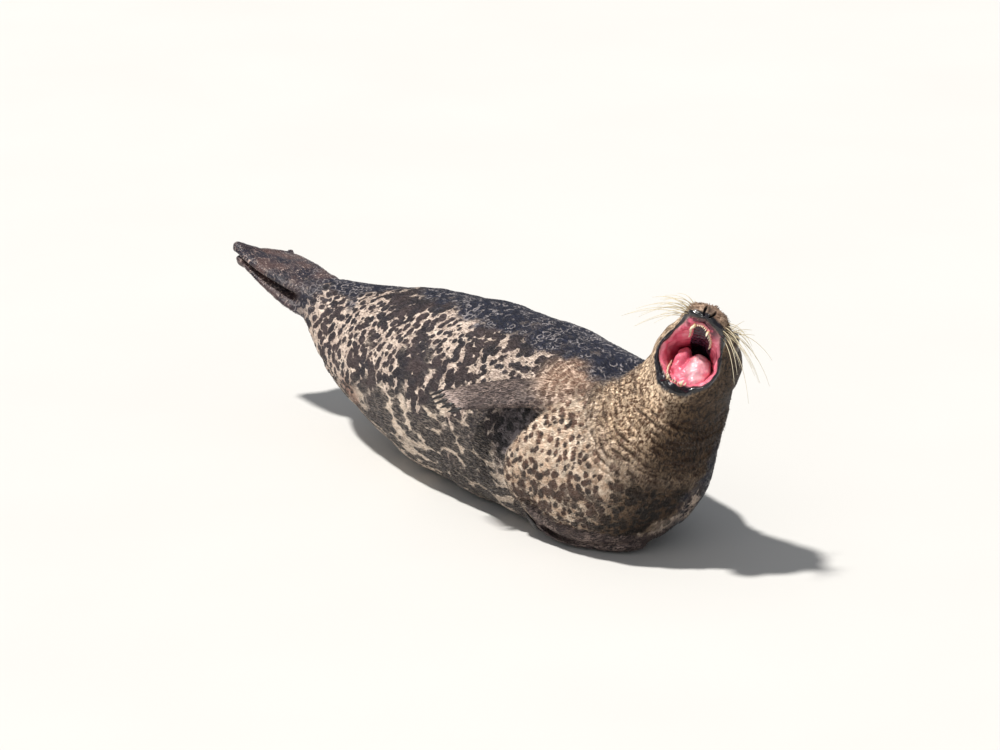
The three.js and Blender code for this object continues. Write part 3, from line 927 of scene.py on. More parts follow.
class Look:
    """A material round one Principled shader; `plain` is what is the same all over the surface."""

    def __init__(self, name, plain=None):
        self.material = bpy.data.materials.new(name)
        self.material.use_nodes = True
        self.tree = self.material.node_tree
        self.tree.nodes.clear()
        self.shader = self.add("BsdfPrincipled", {}, plain)
        output = self.add("OutputMaterial")
        self.tree.links.new(self.shader.outputs[0], output.inputs[0])
        self.place = Value(self, self.add("TexCoord").outputs["Object"])

    def add(self, kind, settings=None, sockets=None):
        """A node, with its settings first, and then the values or links of its sockets."""
        node = self.tree.nodes.new("ShaderNode" + kind)
        for key, value in (settings or {}).items():
            setattr(node, key, value)
        for key, value in (sockets or {}).items():
            self.put(node.inputs[key], value)
        return node

    def put(self, socket, value):
        if isinstance(value, Value):
            self.tree.links.new(value.socket, socket)
        else:
            socket.default_value = value

    def noise(self, place, scale, detail=2.0, roughness=0.5, distortion=0.0):
        node = self.add("TexNoise", {}, {"Vector": place, "Scale": scale, "Detail": detail,
                                         "Roughness": roughness, "Distortion": distortion})
        return Value(self, node.outputs[0])

    def spots(self, place, scale):
        """The distance to the middle of the nearest spot."""
        node = self.add("TexVoronoi", {"feature": "F1"}, {"Vector": place, "Scale": scale})
        return Value(self, node.outputs["Distance"])

    def drawn(self, place, way, stretch):
        """The place, so that what is patterned on it is drawn out along a way."""
        x, y, z = unit(np.array(way))
        turn = (0.0, -math.asin(z), math.atan2(y, x))
        sockets = {"Vector": place, "Rotation": turn, "Scale": (stretch, 1, 1)}
        node = self.add("Mapping", {"vector_type": "TEXTURE"}, sockets)
        return Value(self, node.outputs[0])

    def warped(self, place, scale, by):
        """The place, moved about by up to half of `by` metres."""
        colour = Value(self, self.add("TexNoise", {}, {"Vector": place, "Scale": scale}).outputs[1])
        centred = self.vector("SUBTRACT", colour, (0.5, 0.5, 0.5))
        return self.vector("MULTIPLY_ADD", centred, (by, by, by), place)

    def vector(self, operation, *values, output=0):
        node = self.add("VectorMath", {"operation": operation}, dict(enumerate(values)))
        return Value(self, node.outputs[output])

    def far(self, place, spot):
        """Metres from the place to a spot."""
        return self.vector("DISTANCE", place, tuple(spot), output=1)

    def blend(self, share, low, high, how="MIX"):
        """From colour low to colour high as the share goes from 0 to 1."""
        settings = {"data_type": "RGBA", "blend_type": how}
        return Value(self, self.add("Mix", settings, {0: share, 6: low, 7: high}).outputs[2])

    def zone(self, name):
        """The four values that a colour attribute holds."""
        node = self.add("Attribute", {"attribute_name": name})
        split = self.add("SeparateColor", {}, {0: Value(self, node.outputs["Color"])})
        return [Value(self, o) for o in (*split.outputs[:3], node.outputs["Alpha"])]

    def axis(self, place, name):
        return Value(self, self.add("SeparateXYZ", {}, {0: place}).outputs[name])

    def number(self, name):
        return Value(self, self.add("Attribute", {"attribute_name": name}).outputs["Fac"])

    def bump(self, height, distance, strength=1.0):
        node = self.add("Bump", {}, {"Height": height, "Distance": distance, "Strength": strength})
        self.put(self.shader.inputs["Normal"], Value(self, node.outputs[0]))

    def finish(self, colour, roughness=None):
        self.put(self.shader.inputs["Base Color"], colour)
        if roughness is not None:
            self.put(self.shader.inputs["Roughness"], roughness)
        return self.material


TRUNK_LIE = (1.0, 0.06, 0.0)  # the ways that the hair lies along
NECK_LIE = (0.66, -0.10, 0.74)
LIMB_LIE = (0.752, 0.637, 0.17)
RIGHT_HAND = limb_lines("right_foreflipper")[1].mean(0)
TAN_SHOULDER = (0.355, -0.045, 0.315)  # places of patches in the coat, and the middle of the painted shadow in the armpit, in metres
ARMPIT_SHADOW = (0.325, -0.13, 0.22)
RUSTY_STAIN = (-0.276, -0.185, 0.135)
DUSKY_AND_SHADE_WAY = (0.5, 0.866, -0.55)  # the neck and chest grow darker this way, with dusky hair and painted shade
ARC_STEP = 0.017  # metres from one pale arc round the shoulder to the next


def coat_colour(look):
    """The animal's markings, the same on the skin and on the tufts that stand on it."""
    back, belly, gold, chest = look.zone("coat")
    flipper, lip, mouth, palate = look.zone("bare")
    place = look.place
    moved = look.warped(look.warped(place, 44, 0.009), 130, 0.005)
    patchy = look.noise(place, 8, 2)
    fine = look.noise(place, 60, 3, 0.6)
    strands = look.noise(look.drawn(place, TRUNK_LIE, 6), 420, 3, 0.6)
    neck_strands = look.noise(look.drawn(place, NECK_LIE, 5), 320, 3, 0.6)
    limb_strands = look.noise(look.drawn(moved, LIMB_LIE, 4.5), 400, 4, 0.65)
    front = look.axis(place, "X").ease(-0.5, -0.4)
    low = look.axis(place, "Z").ease(0.24, 0.13)

    # the flank: round dark blotches that merge, with a pale net between them
    cell = look.spots(look.warped(place, 44, 0.006), 62)
    reach = (patchy - 0.5) * 1.1 + 0.55
    small = 1 - look.spots(moved, 104).ease(0.26, 0.36)
    blotch = (1 - cell.ease(reach, reach + 0.10)).most(small * 0.8)
    pale = look.blend(fine.ease(0.3, 0.7), rgb(232, 214, 198), rgb(190, 170, 158))
    dark = look.blend(look.noise(place, 25).ease(0.35, 0.65), rgb(33, 30, 39), rgb(64, 52, 54))
    colour = look.blend(blotch * (strands * 0.24 + 0.86), pale, dark)

    # the belly: the same, drawn out into soft streaks
    long = look.drawn(moved, TRUNK_LIE, 2.6)
    streak = look.spots(long, 58).ease(reach - 0.02, reach + 0.12) * 0.85
    streak = streak + strands.ease(0.46, 0.6) * 0.25
    grey = look.blend(streak, rgb(43, 38, 42), rgb(230, 212, 194))
    colour = look.blend(belly, colour, grey)

    # the chest: cream with brown spots, which grow and merge low down
    clumps = look.noise(moved, 19, 4, 0.7)
    reach = clumps - 0.5 + low * 0.12 + 0.36
    hairy = look.warped(look.drawn(moved, NECK_LIE, 1.35), 260, 0.0035)
    dots = 1 - look.spots(hairy, 76).ease(reach - 0.03, reach + 0.2)
    dots = dots.most((look.noise(moved, 34, 4, 0.7).ease(0.5, 0.58)) * low * 0.85)
    brown = look.blend(look.noise(place, 38).ease(0.42, 0.62), rgb(48, 36, 36), rgb(116, 82, 68))
    cream = look.blend(fine.ease(0.3, 0.7), rgb(252, 236, 216), rgb(218, 188, 162))
    cream = look.blend(low * 0.2, cream, rgb(172, 138, 110))
    brown = look.blend(low * 0.6, brown, rgb(46, 34, 32))
    colour = look.blend(chest, colour, look.blend(dots * (strands * 0.2 + 0.85), cream, brown))

    # the shoulder: tan hair with pale lines
    tan = look.blend(strands.ease(0.4, 0.62), rgb(150, 108, 84), rgb(226, 192, 166))
    near = look.far(moved, TAN_SHOULDER).ease(0.095, 0.03)
    colour = look.blend(near * (1 - back * 0.6) * 0.65, colour, tan)
    arcs = look.far(moved, SHOULDER) * (2 * math.pi / ARC_STEP)
    arcs = arcs.sine().ease(0.3, 0.95) * fine.ease(0.42, 0.55)
    colour = look.blend(near * arcs * 0.8, colour, rgb(238, 214, 192))

    # the neck and head: golden hair in locks, with brown between them
    locks = look.noise(look.drawn(moved, NECK_LIE, 3.4), 190, 4, 0.65)
    golden = look.blend(locks.ease(0.40, 0.60), rgb(100, 69, 46), rgb(255, 226, 192))
    snout = look.far(place, upper_jaw.at(128, 8)).ease(0.058, 0.036)
    tan = look.blend(locks.ease(0.35, 0.65), rgb(150, 120, 100), rgb(196, 168, 146))
    golden = look.blend(snout * 0.85, golden, tan)
    golden = look.blend(look.noise(moved, 45).ease(0.50, 0.66) * 0.5, golden, rgb(112, 80, 60))
    fold = look.number("fold")
    ends = fold.ease(0.2, 0.02) * locks.ease(0.42, 0.62) * (1 - snout)
    golden = look.blend(ends * 0.5, golden, rgb(255, 234, 208))
    colour = look.blend(gold * (fine.ease(0.2, 0.5) * 0.25 + 0.75), colour, golden)

    # the left of the neck and chest is darker: partly dusky brown hair, partly painted shade on the
    # side away from the light
    fore = gold.most(chest)
    leftwards = look.vector("DOT_PRODUCT", place, DUSKY_AND_SHADE_WAY, output=1)
    dusky_and_shade = leftwards.ease(0.115, 0.185) * fore * (1 - snout * 0.45)
    colour = look.blend(dusky_and_shade, colour, rgb(124, 112, 98), "MULTIPLY")
    # a second, deeper step of the same dusky hair and painted shade, further to the left
    deeper_dusk_and_shade = leftwards.ease(0.165, 0.235) * fore
    colour = look.blend(deeper_dusk_and_shade, colour, rgb(176, 166, 154), "MULTIPLY")
    # painted shadow under the raised right foreflipper: the coat darkened, a little bluish, in the
    # armpit
    armpit_shadow = look.far(moved, ARMPIT_SHADOW).ease(0.10, 0.045) * (1 - chest) * (1 - flipper)
    colour = look.blend(armpit_shadow, colour, rgb(132, 134, 150), "MULTIPLY")

    # the back: blue-black, with thin broken rings and curls
    ring = (cell - 0.42).size().ease(0.10, 0.03) * look.noise(place, 46).ease(0.45, 0.56)
    curl = (look.spots(moved, 62) - 0.46).size().ease(0.08, 0.02)
    curl = curl * look.noise(moved, 34).ease(0.49, 0.58)
    pale = ring.most(curl) * patchy.ease(0.78, 0.55) * (strands * 0.8 + 0.45)
    night = look.blend(pale * 0.85, rgb(37, 40, 57), rgb(190, 182, 182))
    colour = look.blend(back, colour, night)

    # a rusty stain by the rear of the belly
    stain = look.far(moved, RUSTY_STAIN).ease(0.055, 0.015)
    colour = look.blend(stain * 0.55, colour, rgb(176, 104, 62), "MULTIPLY")

    # flippers: grey-brown, with pale hairs along them
    along_limb = front * limb_strands + (1 - front) * strands
    hide = look.blend(along_limb.ease(0.44, 0.60), rgb(43, 35, 38), rgb(166, 146, 138))
    patch = look.noise(place, 22, 2)
    hide = look.blend(patch.ease(0.42, 0.58) * 0.65, hide, rgb(58, 46, 48))
    hand = look.far(place, RIGHT_HAND).ease(0.075, 0.03)
    hide = look.blend(hand * along_limb.ease(0.35, 0.55) * 0.6, hide, rgb(212, 190, 180))
    leather = look.blend(patch.ease(0.35, 0.6), rgb(38, 35, 46), rgb(84, 64, 62))
    leather = look.blend(strands.ease(0.54, 0.66) * 0.55, leather, rgb(176, 154, 144))
    hairs = look.noise(look.drawn(place, (0.1, 0.3, 1), 4), 200, 2).ease(0.6, 0.68)
    leather = look.blend(hairs * patchy.ease(0.4, 0.6) * 0.8, leather, rgb(214, 190, 178))
    hide = look.blend(front, leather, hide)
    colour = look.blend(flipper * 0.95, colour, hide)
    # creases round the throat lie in their own shade
    colour = look.blend(fold.ease(0.32, 0.85) * 0.8, colour, rgb(64, 43, 31))
    single = neck_strands * gold + strands * (1 - gold)
    single = along_limb * flipper + single * (1 - flipper)
    return colour, single, (back, belly, gold, chest), (flipper, lip, mouth, palate)


def skin_look():
    look = Look("coat_skin", {"Specular IOR Level": 0.35})
    colour, strands, coat, bare = coat_colour(look)
    back = coat[0]
    flipper, lip, mouth, palate = bare
    place = look.place
    grain = look.noise(place, 260, 3, 0.6)
    soft = look.noise(place, 55, 3)

    # lips, lids and nose: black, with a little pale mottling
    black = look.blend(soft.ease(0.35, 0.7), rgb(8, 7, 10), rgb(30, 26, 36))
    colour = look.blend(lip, colour, black)
    # the mouth: rosy walls that go deep red towards the throat, and a dark mauve vault
    deep = look.far(place, jaw_joint).ease(0.075, 0.03)
    rosy = look.blend(soft.ease(0.3, 0.7), rgb(222, 96, 122), rgb(242, 148, 164))
    rosy = look.blend(deep, rosy, rgb(206, 52, 84))
    # the front of the upper jaw, inside the lip, is a dark plum
    plum = look.far(place, upper_jaw.at(128, -8)).ease(0.050, 0.028)
    rosy = look.blend(plum * soft.ease(0.32, 0.46) * 0.95, rosy, rgb(74, 22, 40))
    mauve = look.blend(grain.ease(0.35, 0.65), rgb(26, 12, 22), rgb(78, 48, 64))
    lining = look.blend(palate.ease(0.2, 0.55), rosy, mauve)
    colour = look.blend(mouth, colour, lining)

    wet = lip.most(mouth)
    rough = 0.56 - back * 0.16 + (grain - 0.5) * 0.16
    rough = rough * (1 - wet) + wet * 0.24
    rough = rough - flipper * look.axis(place, "X").ease(-0.4, -0.5) * 0.18
    hairs = (strands - 0.5) * (1 - wet)
    pores = (look.spots(place, 520) - 0.4) * 0.35 * (1 - wet * 0.6)
    creases = (look.noise(place, 90, 4, 0.65) - 0.5) * 0.7
    look.bump(hairs + pores + creases, 1.4 * MM, 0.85)
    look.put(look.shader.inputs["Coat Weight"], wet * 0.6)
    return look.finish(colour, rough)


def tuft_look():
    look = Look("coat_tufts")
    colour, strands, coat, _ = coat_colour(look)
    tint = look.number("tint")
    shade = look.blend(tint, rgb(214, 210, 206), (1, 1, 1, 1))
    colour = look.blend(1.0, colour, shade, "MULTIPLY")
    colour = look.blend(tint.ease(0.72, 1.0) * 0.10, colour, rgb(240, 226, 206))
    rough = 0.62 - coat[0] * 0.16 + (strands - 0.5) * 0.2
    look.bump(look.noise(look.place, 900, 1), 0.15 * MM, 0.6)
    return look.finish(colour, rough)


def eye_look():
    look = Look("wet_eye", {"IOR": 1.38, "Coat Weight": 1.0, "Coat Roughness": 0.02})
    ring = look.number("ring")  # degrees from the middle of the pupil
    fibres = look.noise(look.place, 700, 3)
    iris = look.blend(fibres, rgb(30, 18, 12), rgb(66, 42, 26))
    colour = look.blend(ring.ease(21, 24), rgb(6, 5, 6), iris)
    colour = look.blend(ring.ease(41, 46), colour, rgb(22, 14, 12))
    white = look.blend(fibres, rgb(120, 84, 76), rgb(168, 128, 116))
    colour = look.blend(ring.ease(56, 62), colour, white)
    look.bump(fibres, 0.05 * MM, 0.3)
    return look.finish(colour, 0.10 + ring.ease(40, 50) * 0.1)


def tooth_look():
    look = Look("tooth_enamel", {"Coat Weight": 0.5})
    high = look.number("high")  # 0 at the gum, 1 at the tip
    stain = look.noise(look.place, 380, 3, 0.6)
    colour = look.blend(high.ease(0.0, 0.75), rgb(206, 170, 112), rgb(246, 234, 206))
    colour = look.blend(stain.ease(0.52, 0.72) * 0.5, colour, rgb(176, 134, 78))
    look.bump(look.noise(look.drawn(look.place, (0, 0, 1), 3), 900, 2), 0.1 * MM, 0.5)
    return look.finish(colour, 0.22 + stain * 0.2)


def gum_look():
    look = Look("gum", {"Coat Weight": 0.8})
    soft = look.noise(look.place, 240, 3)
    vein = look.noise(look.place, 120, 2, 0.5, 1.5)
    colour = look.blend(soft.ease(0.3, 0.7), rgb(206, 84, 104), rgb(238, 150, 156))
    colour = look.blend(vein.ease(0.55, 0.7) * 0.5, colour, rgb(150, 44, 62))
    colour = look.blend(look.noise(look.place, 60).ease(0.56, 0.66) * 0.6, colour, rgb(70, 40, 54))
    look.bump(soft, 0.4 * MM, 0.6)
    return look.finish(colour, 0.22 + soft * 0.15)


def tongue_look():
    wet = {"Coat Weight": 0.4, "Coat Roughness": 0.3}
    soft_flesh = {"Subsurface Weight": 0.12, "Subsurface Scale": 0.004}
    look = Look("wet_tongue", wet | soft_flesh)
    buds = look.spots(look.place, 620)
    soft = look.noise(look.place, 60, 3)
    left = look.number("left")  # 1 on the left half, where the light lies wet and pale
    colour = look.blend(soft.ease(0.3, 0.7), rgb(216, 84, 112), rgb(236, 126, 146))
    pale = look.blend(soft.ease(0.3, 0.7), rgb(240, 176, 188), rgb(248, 208, 212))
    colour = look.blend(left.ease(0.25, 0.9) * 0.8, colour, pale)
    colour = look.blend(look.number("low"), colour, rgb(176, 38, 66))
    colour = look.blend(buds.ease(0.42, 0.16) * 0.22, colour, rgb(250, 206, 208))
    look.bump(buds.ease(0.5, 0.1) + soft, 0.35 * MM, 0.7)
    return look.finish(colour, 0.36 + soft * 0.2)


def claw_look():
    look = Look("black_horn", {"Coat Weight": 0.3})
    high = look.number("high")
    lines = look.noise(look.drawn(look.place, LIMB_LIE, 5), 900, 3)
    colour = look.blend(lines.ease(0.35, 0.65), rgb(14, 12, 13), rgb(44, 38, 38))
    colour = look.blend(high.ease(0.8, 1.0) * 0.3, colour, rgb(110, 98, 90))
    look.bump(lines, 0.2 * MM, 0.7)
    return look.finish(colour, 0.30 + lines * 0.25)


def whisker_look():
    look = Look("whisker")
    high = look.number("high")
    colour = look.blend(high, rgb(196, 180, 146), rgb(236, 226, 200))
    colour = look.blend(high.ease(0.06, 0.0), colour, rgb(70, 52, 40))
    look.bump(look.noise(look.place, 500, 2), 0.08 * MM, 0.4)
    return look.finish(colour, 0.34 + look.noise(look.place, 300) * 0.12)


# ---- eyes, mouth, whiskers and claws -----------------------------------------------------------
def eyeball(side):
    """An eye with its bulging cornea."""
    select()
    bpy.ops.mesh.primitive_uv_sphere_add(segments=64, ring_count=40, radius=1, location=(0, 0, 0))
    eye = bpy.context.active_object
    eye.name = eye.data.name = f"{side}_eyeball"
    look, along, across = eye_axes(side)
    p = points_of(eye.data)
    axes = np.stack([along, across, look])
    tilt = np.degrees(np.arccos(np.clip(p[:, 2], -1, 1)))
    radius = (EYE_RADIUS - 0.3 * MM) * (1 + 0.055 * ease(tilt, 48, 14))
    move_points(eye.data, eye_at[side] + (p @ axes) * radius[:, None])
    paint_number(eye.data, "ring", tilt)
    return outward(smooth_shaded(eye))


# Cheek teeth on each side, then places as shares of the whole arch, and the incisors' span.
TEETH = {"count": 5, "first": 0.07, "pitch": 0.067, "canine": 0.40, "span": 0.12}
ONE_CUSP = ((0, 1),)  # each cusp's place along the tooth, and its share of the height
THREE_CUSPS = ((-0.1, 1), (0.75, 0.5), (-0.8, 0.42))
TOOTH = {  # height and width in millimetres, and cusps
    "incisor": (5.5, 1.7, ONE_CUSP),
    "canine": (12.5, 3.8, ONE_CUSP),
    "cheek": (8.6, 2.2, THREE_CUSPS),
}
ARCH_STEPS = 120
# Half of each arch from the back to the front tooth: millimetres ahead and to the side.
UPPER_ARCH = [(58, 22), (76, 21.5), (94, 20.5), (106, 18.5), (114, 14), (119, 0)]
LOWER_ARCH = [(40, 32), (60, 29), (78, 24), (93, 15), (100, 0)]
ARCHES = {  # the frame, the way the teeth point, the height, half the arch, and its incisors
    "upper": (upper_jaw, -1, -9, UPPER_ARCH, 6),
    "lower": (lower_jaw, 1, 1, LOWER_ARCH, 4),
}


def tooth(foot, way, back, height, wide, cusps):
    """A tooth of curved cones, with its cusps in a row along the jaw."""
    cones = []
    for along, share in cusps:
        t = np.linspace(0, 1, 8)
        reach = height * share
        lean = along * wide + 0.22 * reach * t[:, None] ** 2
        path = foot + np.outer(t * reach, way) + back * lean
        path[:2] -= way * np.array([[3.0 * MM], [0.8 * MM]])
        radii = wide * (0.55 + 0.45 * share) * (1 - t**1.5) ** 0.75 + 0.12 * MM
        radii[:2] = radii[2] * np.array([0.8, 0.98])
        cones.append(tube(path, radii, "tooth", around=10, flat=0.72, up=back))
    return joined(cones, "tooth")


def row_of_teeth(jaw, skin_tree):
    """The gum's ridge, and the teeth that stand in it."""
    turned, way_up, height, half, incisors = ARCHES[jaw]
    marks = [(a, s) for a, s in half] + [(a, -s) for a, s in half[-2::-1]]
    arch = smooth_line([turned.at(a, height, s) for a, s in marks], ARCH_STEPS + 1)
    way = turned.up * way_up
    lying = []
    for point in arch:
        hit = skin_tree.ray_cast(Vector(point + way * 24 * MM), Vector(-way), 0.05)[0]
        lying.append(np.array(hit) @ way if hit is not None else np.nan)
    lying = np.array(lying)
    lying[np.isnan(lying)] = np.nanmedian(lying)
    for _ in range(60):
        lying[1:-1] = (lying[:-2] + 2 * lying[1:-1] + lying[2:]) / 4
    arch = arch + np.outer(lying + 2.6 * MM - arch @ way, way)
    share = np.linspace(0, 1, ARCH_STEPS + 1)
    places = [TEETH["first"] + TEETH["pitch"] * i for i in range(TEETH["count"])]
    places = places + [TEETH["canine"]]
    places = places + [1 - t for t in places]
    fronts = [0.5 + TEETH["span"] * (i / (incisors - 1) - 0.5) for i in range(incisors)]
    swell = sum(hump(share, t, 0.016) for t in places)
    swell = swell + 0.6 * sum(hump(share, t, 0.01) for t in fronts)
    path = arch - way * 3.4 * MM
    path += np.outer(swell * 0.5 * MM, way)
    ends = np.clip(np.minimum(share, 1 - share) / 0.03, 0.1, 1)
    radii = (3.5 + 0.55 * swell) * MM * np.sqrt(ends)
    gum = outward(tube(path, radii, f"{jaw}_gum_ridge", around=16, flat=0.85, up=way))
    teeth = []
    for t in places + fronts:
        i = int(round(t * ARCH_STEPS))
        foot = arch[i] - way * 0.6 * MM
        forward = unit(arch[min(i + 1, ARCH_STEPS)] - arch[max(i - 1, 0)])
        back = forward if t > 0.5 else -forward  # towards the rear of the mouth
        size = rng.uniform(0.9, 1.1)
        kind = "cheek"
        if t in fronts:
            kind = "incisor"
            back = back * 0.2
        elif abs(abs(t - 0.5) - 0.5 + TEETH["canine"]) < 0.01:
            kind = "canine"
        high, wide, cusps = TOOTH[kind]
        teeth.append(tooth(foot, way, back, high * MM * size, wide * MM, cusps))
    return gum, outward(joined(teeth, f"{jaw}_teeth"))


TONGUE = [  # ahead, its right edge, its left edge, top and bottom, in millimetres
    (2, 20, -28, 8, -6), (8, 25, -34, 20, -10), (18, 28, -39, 28, -12), (32, 28, -41, 30, -12),
    (46, 27, -41, 26, -12), (58, 20, -40, 20, -11), (68, 13, -38, 15, -10), (78, 10, -35, 11, -8),
    (87, 8, -28, 8, -5), (93, 2, -15, 4, 0),
]


def tongue():
    """The tongue: wide and soft, with two lobes at its crest and a groove between them."""
    stations, around = smooth_line(TONGUE, 40), 48
    a = 2 * math.pi * np.arange(around) / around
    round_x, round_y = (np.sign(f(a)) * np.abs(f(a)) ** 0.8 for f in (np.cos, np.sin))
    points = []
    for ahead, right, left, top, bottom in stations:
        side = (right + left) / 2 + (right - left) / 2 * round_x
        up = (top + bottom) / 2 + (top - bottom) / 2 * round_y
        points += [lower_jaw.at(ahead, u, s) for u, s in zip(up, side)]
    faces = ring_faces(len(stations), around, swapped=True)
    made = outward(new_object("soft_tongue", points, faces))
    modified(made, "REMESH", mode="VOXEL", voxel_size=1.2 * MM)
    modified(made, "SMOOTH", factor=1.0, iterations=24)
    p, n = points_of(made.data), points_of(made.data, "normal")
    ahead, up, side = lower_jaw.of(p)
    top = ease(n @ lower_jaw.up, 0.0, 0.6)
    crest = ease(ahead, 62, 30)
    out = 1.2 + top * crest * (4.5 * hump(side, 20, 10) + 3.0 * hump(side, -16, 13))
    out -= top * (8.0 * crest + 1.2) * hump(side, 6, 4.5)
    out += 1.1 * Ripple(0.02)(p) + 0.3 * Ripple(0.006)(p)
    move_points(made.data, p + n * (out * MM)[:, None])
    modified(made, "SMOOTH", factor=1.0, iterations=4)
    ahead, up, side = lower_jaw.of(points_of(made.data))
    paint_number(made.data, "left", ease(side, 8, -12) * ease(ahead, 96, 50))
    paint_number(made.data, "low", 0.8 * ease(up, 8, -4))
    return smooth_shaded(made)


WHISKERS = {"rows": 4, "columns": 5, "root": 0.85 * MM, "tip": 0.26 * MM}


def whisker(root, start, bend, length):
    t = np.linspace(0, 1, 10)[:, None]
    path = root + start * length * t + bend * length * t**2
    path[0] -= start * 2.5 * MM
    thick = WHISKERS["tip"] + (WHISKERS["root"] - WHISKERS["tip"]) * (1 - t[:, 0]) ** 0.8
    return tube(path, thick, "whisker", around=6)


def whiskers(side, skin_tree):
    """One pad's fan of whiskers, and a few stiff hairs over the eye on that side."""
    s = SIDES[side]
    made = []
    for row in range(WHISKERS["rows"]):
        for column in range(WHISKERS["columns"] - (row % 2)):
            ahead = 130 - 6.4 * column - (row % 2) * 3.2 + rng.uniform(-1, 1)
            up = 11 - 6.6 * row + 0.35 * (column - 3) + rng.uniform(-0.8, 0.8)
            origin = upper_jaw.at(ahead, up, s * 75)
            hit, normal, _, _ = skin_tree.ray_cast(Vector(origin), Vector(-s * head_right))
            if hit is None:
                continue
            hit, normal = np.array(hit), np.array(normal)
            down = row / (WHISKERS["rows"] - 1)
            outwards = s * head_right * 0.95 + head_ahead * (0.30 - 0.10 * column)
            outwards = outwards + head_up * (0.30 - 0.75 * down)
            start = unit(unit(outwards) + normal * 0.5 + rng.normal(0, 0.05, 3))
            bend = -head_ahead * rng.uniform(0.42, 0.62) - head_up * rng.uniform(0.10, 0.34)
            length = (58 + 13 * column - 6 * abs(1.7 - row)) * MM * rng.uniform(0.85, 1.12)
            while (hit + (start + bend) * length)[0] > cad_bounds[1][0] + 0.045:
                length *= 0.94
            made.append(whisker(hit, start, bend, min(length, 0.108)))
    for i in range(4):
        origin = upper_jaw.at(57 - 5 * i, 75, s * (30 + 2 * i))
        hit, normal, _, _ = skin_tree.ray_cast(Vector(origin), Vector(-head_up))
        if hit is not None:
            start = unit(np.array(normal) * 0.7 + s * head_right * 0.4 + rng.normal(0, 0.1, 3))
            made.append(whisker(np.array(hit), start, -head_ahead * 0.4, rng.uniform(0.03, 0.05)))
    return outward(joined(made, f"{side}_whiskers"))


def claws(name):
    """A flipper's five claws: curved, ridged horn that narrows to its tip."""
    made = []
    for claw in CLAWS[name]:
        base, tip, _ = claw_line(name, claw)
        way = unit(tip - base)
        part = copy_of([claw], "claw")
        modified(part, "REMESH", mode="VOXEL", voxel_size=0.8 * MM)
        modified(part, "SMOOTH", factor=1.0, iterations=14)
        p, n = points_of(part.data), points_of(part.data, "normal")
        high = np.clip(((p - base) @ way) / np.linalg.norm(tip - base), 0, 1)
        thicker = 0.1 if "hind" in name else 0.9
        p = p + n * (thicker * MM * (1 - high) + 0.15 * MM)[:, None]
        share = 0.74 if "hind" in name else 1.1
        away = ((p - base) @ way)[:, None] * way
        move_points(part.data, p + away * (share - 1))
        paint_number(part.data, "high", high)
        made.append(part)
    return smooth_shaded(joined(made, f"{name}_claws"))


# ---- coat: thin tufts over the skin --------------------------------------------------------------
# For each piece: how many tufts, and their length, width and lift in millimetres.
COAT = {
    "coat_back": (15_000, 10, 1.2, 0.6),
    "coat_flank": (15_000, 10, 1.2, 0.6),
    "coat_belly": (15_000, 10, 1.3, 0.8),
    "coat_chest": (18_500, 10, 1.5, 1.3),
    "coat_neck": (19_000, 9, 1.5, 1.6),
    "coat_head": (19_000, 4.4, 0.75, 0.5),
    "coat_flippers": (12_000, 7, 0.9, 0.5),
}


def lie_of_coat(at, marks):
    """The way that the hair lies at each point, before it is turned along the skin."""
    way = -at.way
    nose = upper_jaw.at(146, -4)
    chin = lower_jaw.at(112, -6)
    above = ease(at.gape_up, -12, 12)[:, None]
    from_face = unit(at.points - (nose * above + chin * (1 - above)))
    face = ease(at.from_joint, 0.20, 0.11)[:, None]
    way = unit(way * (1 - face) + from_face * face)
    for name in FLIPPERS:
        root, tips = limb_lines(name)
        share = ease(marks[name], 0.1, 0.6)[:, None]
        way = unit(way * (1 - share) + unit(tips.mean(0) - root) * share)
    return way


def coat_unwrap(at, marks):
    """Each point's place on an unwrap of the skin: along the body and round it."""
    round_it = (np.arctan2(at.flank, at.dorsal) / (2 * math.pi)) % 1
    along = np.clip(at.along / 6, 0, 1)
    head = ease(at.from_joint, 0.17, 0.16)
    face_round = (np.arctan2(at.side, at.up) / (2 * math.pi)) % 1
    face_along = np.clip((at.ahead + 110) / 270, 0, 1)
    u = along * (1 - head) + face_along * head
    v = round_it * (1 - head) + face_round * head
    for i, name in enumerate(FLIPPERS):
        root, tips = limb_lines(name)
        long = tips.mean(0) - root
        across = tips[-1] - tips[0]
        flat = unit(np.cross(long, across))
        p = at.points - root
        lower = (dot(p, flat[None]) < 0) * 0.48
        here = marks[name] > 0.25
        u = np.where(here, np.clip(p @ long / dot(long, long), 0, 1) * 0.98, u)
        wide = np.clip(p @ unit(across) / (np.linalg.norm(across) * 2) + 0.5, 0, 1)
        v = np.where(here, (i + wide * 0.46 + lower) / 4, v)
    return np.stack([u, v], 1) * 0.985 + 0.005


